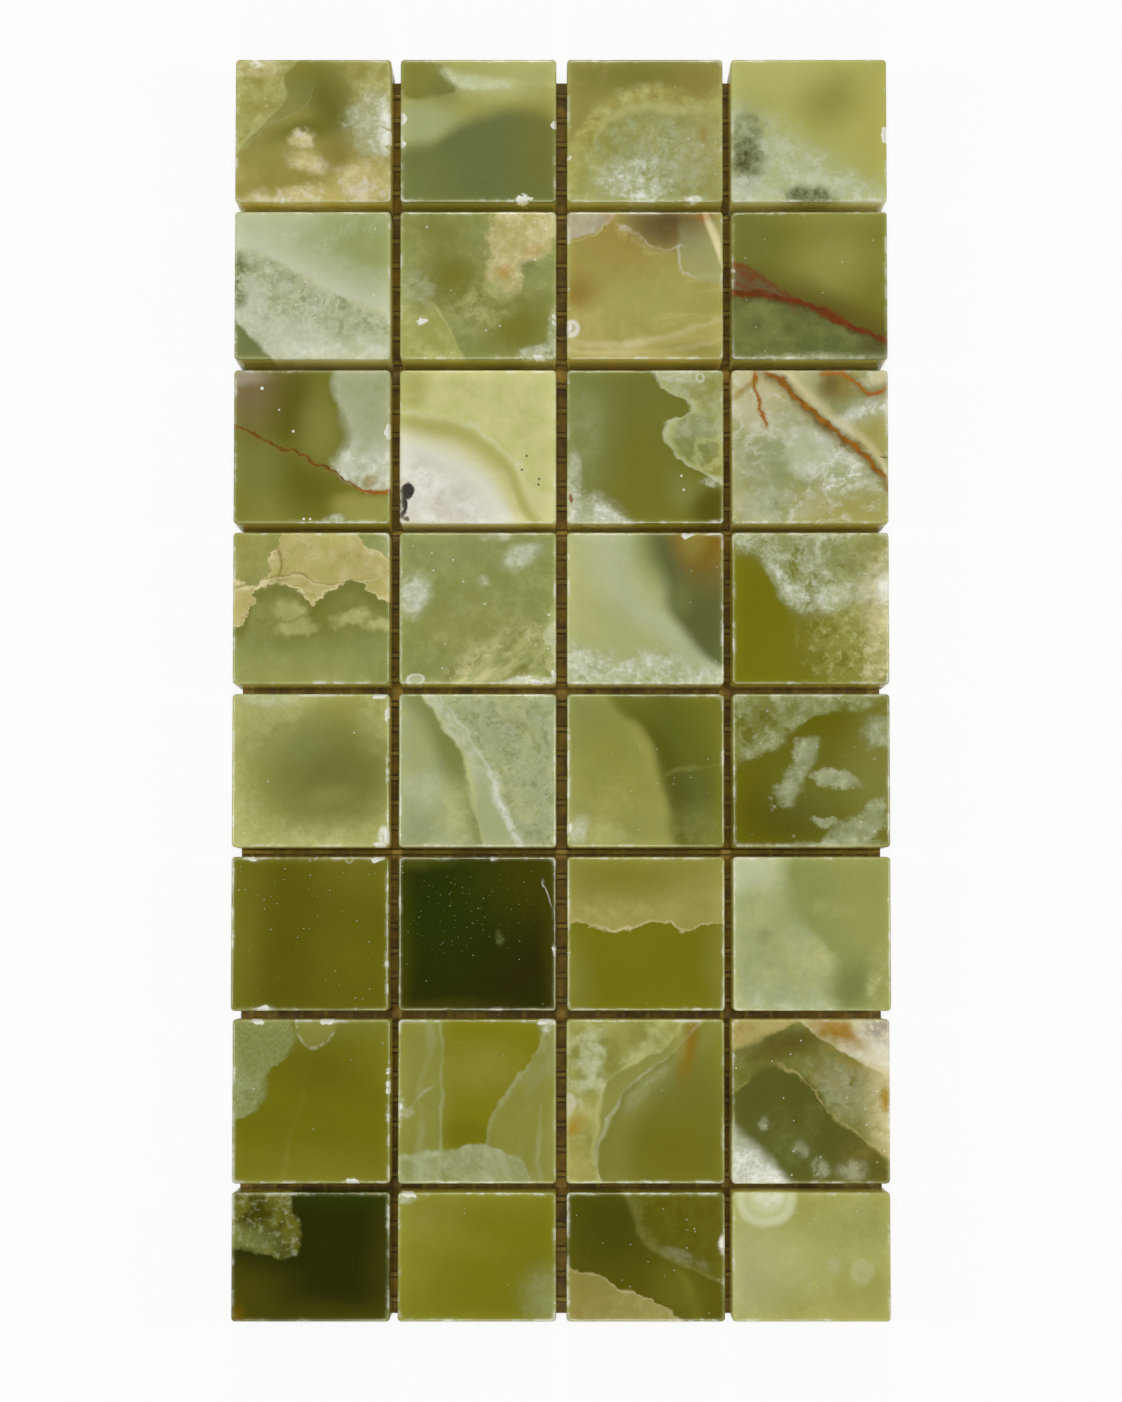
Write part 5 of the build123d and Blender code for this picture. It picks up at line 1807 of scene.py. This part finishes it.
class ONYX_OT_stage(bpy.types.Operator):
    """Set the floor, the light and the camera"""

    bl_idname = "onyx.stage"
    bl_label = "Stage"

    def execute(self, context):
        stage = context.scene.onyx_sheet.stage
        scene = context.scene
        self.floor()
        self.lamps(scene, stage)
        self.sky(scene, stage)
        lens = bpy.data.cameras.new("camera")
        lens.sensor_fit = "VERTICAL"
        lens.sensor_height = 36.0
        lens.lens = stage.lens
        lens.shift_y = stage.shift
        lens.clip_start = 10 * MM
        camera = bpy.data.objects.new("camera", lens)
        camera.location = (0, -stage.back, stage.height)
        camera.rotation_euler = (stage.tilt, 0, 0)
        scene.collection.objects.link(camera)
        scene.camera = camera
        scene.view_settings.view_transform = "Standard"
        return {"FINISHED"}

    def floor(self):
        """A wide white floor, mostly plain white to the camera, so that its shadows stay faint."""
        mesh = bpy.data.meshes.new("floor")
        half = FLOOR_HALF
        corners = [(-half, -half, 0), (half, -half, 0), (half, half, 0), (-half, half, 0)]
        mesh.from_pydata(corners, [], [(0, 1, 2, 3)])
        material, tree, surface = shader("floor")
        place = coordinates(tree)
        white = place.noise(40, 2.0).mix((0.9, 0.9, 0.9, 1), (0.94, 0.94, 0.94, 1))
        tree.links.new(white.socket, surface.inputs["Base Color"])
        surface.inputs["Roughness"].default_value = 0.9
        seen = place.node("ShaderNodeLightPath", {}, {}, "Is Camera Ray")
        glow = place.node("ShaderNodeEmission", {}, {})
        layers = {0: seen * FLOOR_WHITE, 1: Ex(surface.outputs[0]), 2: glow}
        both = place.node("ShaderNodeMixShader", {}, layers)
        tree.links.new(both.socket, tree.nodes["Material Output"].inputs["Surface"])
        mesh.materials.append(material)
        floor = bpy.data.objects.new("floor", mesh)
        bpy.context.scene.collection.objects.link(floor)

    def lamps(self, scene, stage):
        """Four wide soft lamps, one over each side, so that straight above stays unlit."""
        for number in range(4):
            turn = number * math.pi / 2
            data = bpy.data.lights.new(f"lamp_{number}", "AREA")
            data.shape = "RECTANGLE"
            data.size = LAMP_WIDTH
            data.size_y = LAMP_LENGTH
            data.energy = stage.light
            lamp = bpy.data.objects.new(f"lamp_{number}", data)
            lamp.location = (LAMP_REACH * math.sin(turn), LAMP_REACH * math.cos(turn), LAMP_REACH)
            lamp.rotation_euler = (-math.pi / 4, 0, -turn)
            lamp.rotation_mode = "XYZ"
            scene.collection.objects.link(lamp)

    def sky(self, scene, stage):
        """A weak even light from all round, white where the camera sees it."""
        world = bpy.data.worlds.new("sky")
        world.use_nodes = True
        tree = world.node_tree
        weak = tree.nodes["Background"]
        weak.inputs["Color"].default_value = (1, 1, 1, 1)
        weak.inputs["Strength"].default_value = stage.sky
        light = Ex(weak.outputs[0])
        plain = light.node("ShaderNodeBackground", {}, {"Color": (1, 1, 1, 1)})
        seen = light.node("ShaderNodeLightPath", {}, {}, "Is Camera Ray")
        both = light.node("ShaderNodeMixShader", {}, {0: seen, 1: light, 2: plain})
        tree.links.new(both.socket, tree.nodes["World Output"].inputs["Surface"])
        scene.world = world


class ONYX_PT_sheet(bpy.types.Panel):
    """Sidebar panel with the sheet's steps and sizes"""

    bl_label = "Onyx mosaic sheet"
    bl_idname = "ONYX_PT_sheet"
    bl_space_type = "VIEW_3D"
    bl_region_type = "UI"
    bl_category = "Onyx"

    def draw(self, context):
        sheet = context.scene.onyx_sheet
        for step in STEPS:
            self.layout.operator(step.bl_idname)
        for group in (sheet.shape, sheet.stage, sheet.colours):
            for name in group.bl_rna.properties.keys()[2:]:
                self.layout.prop(group, name)


STEPS = (ONYX_OT_chips, ONYX_OT_net, ONYX_OT_stage)
CLASSES = (OnyxColours, OnyxShape, OnyxStage, OnyxSheet, *STEPS, ONYX_PT_sheet)


def register():
    """Makes the sheet's settings and steps known to Blender."""
    for cls in CLASSES:
        bpy.utils.register_class(cls)
    bpy.types.Scene.onyx_sheet = bpy.props.PointerProperty(type=OnyxSheet)


def unregister():
    """Takes the sheet's settings and steps away again."""
    del bpy.types.Scene.onyx_sheet
    for cls in reversed(CLASSES):
        bpy.utils.unregister_class(cls)


def main():
    """Runs every step in order."""
    register()
    bpy.ops.onyx.chips()
    bpy.ops.onyx.net()
    bpy.ops.onyx.stage()


if __name__ == "__main__":
    main()
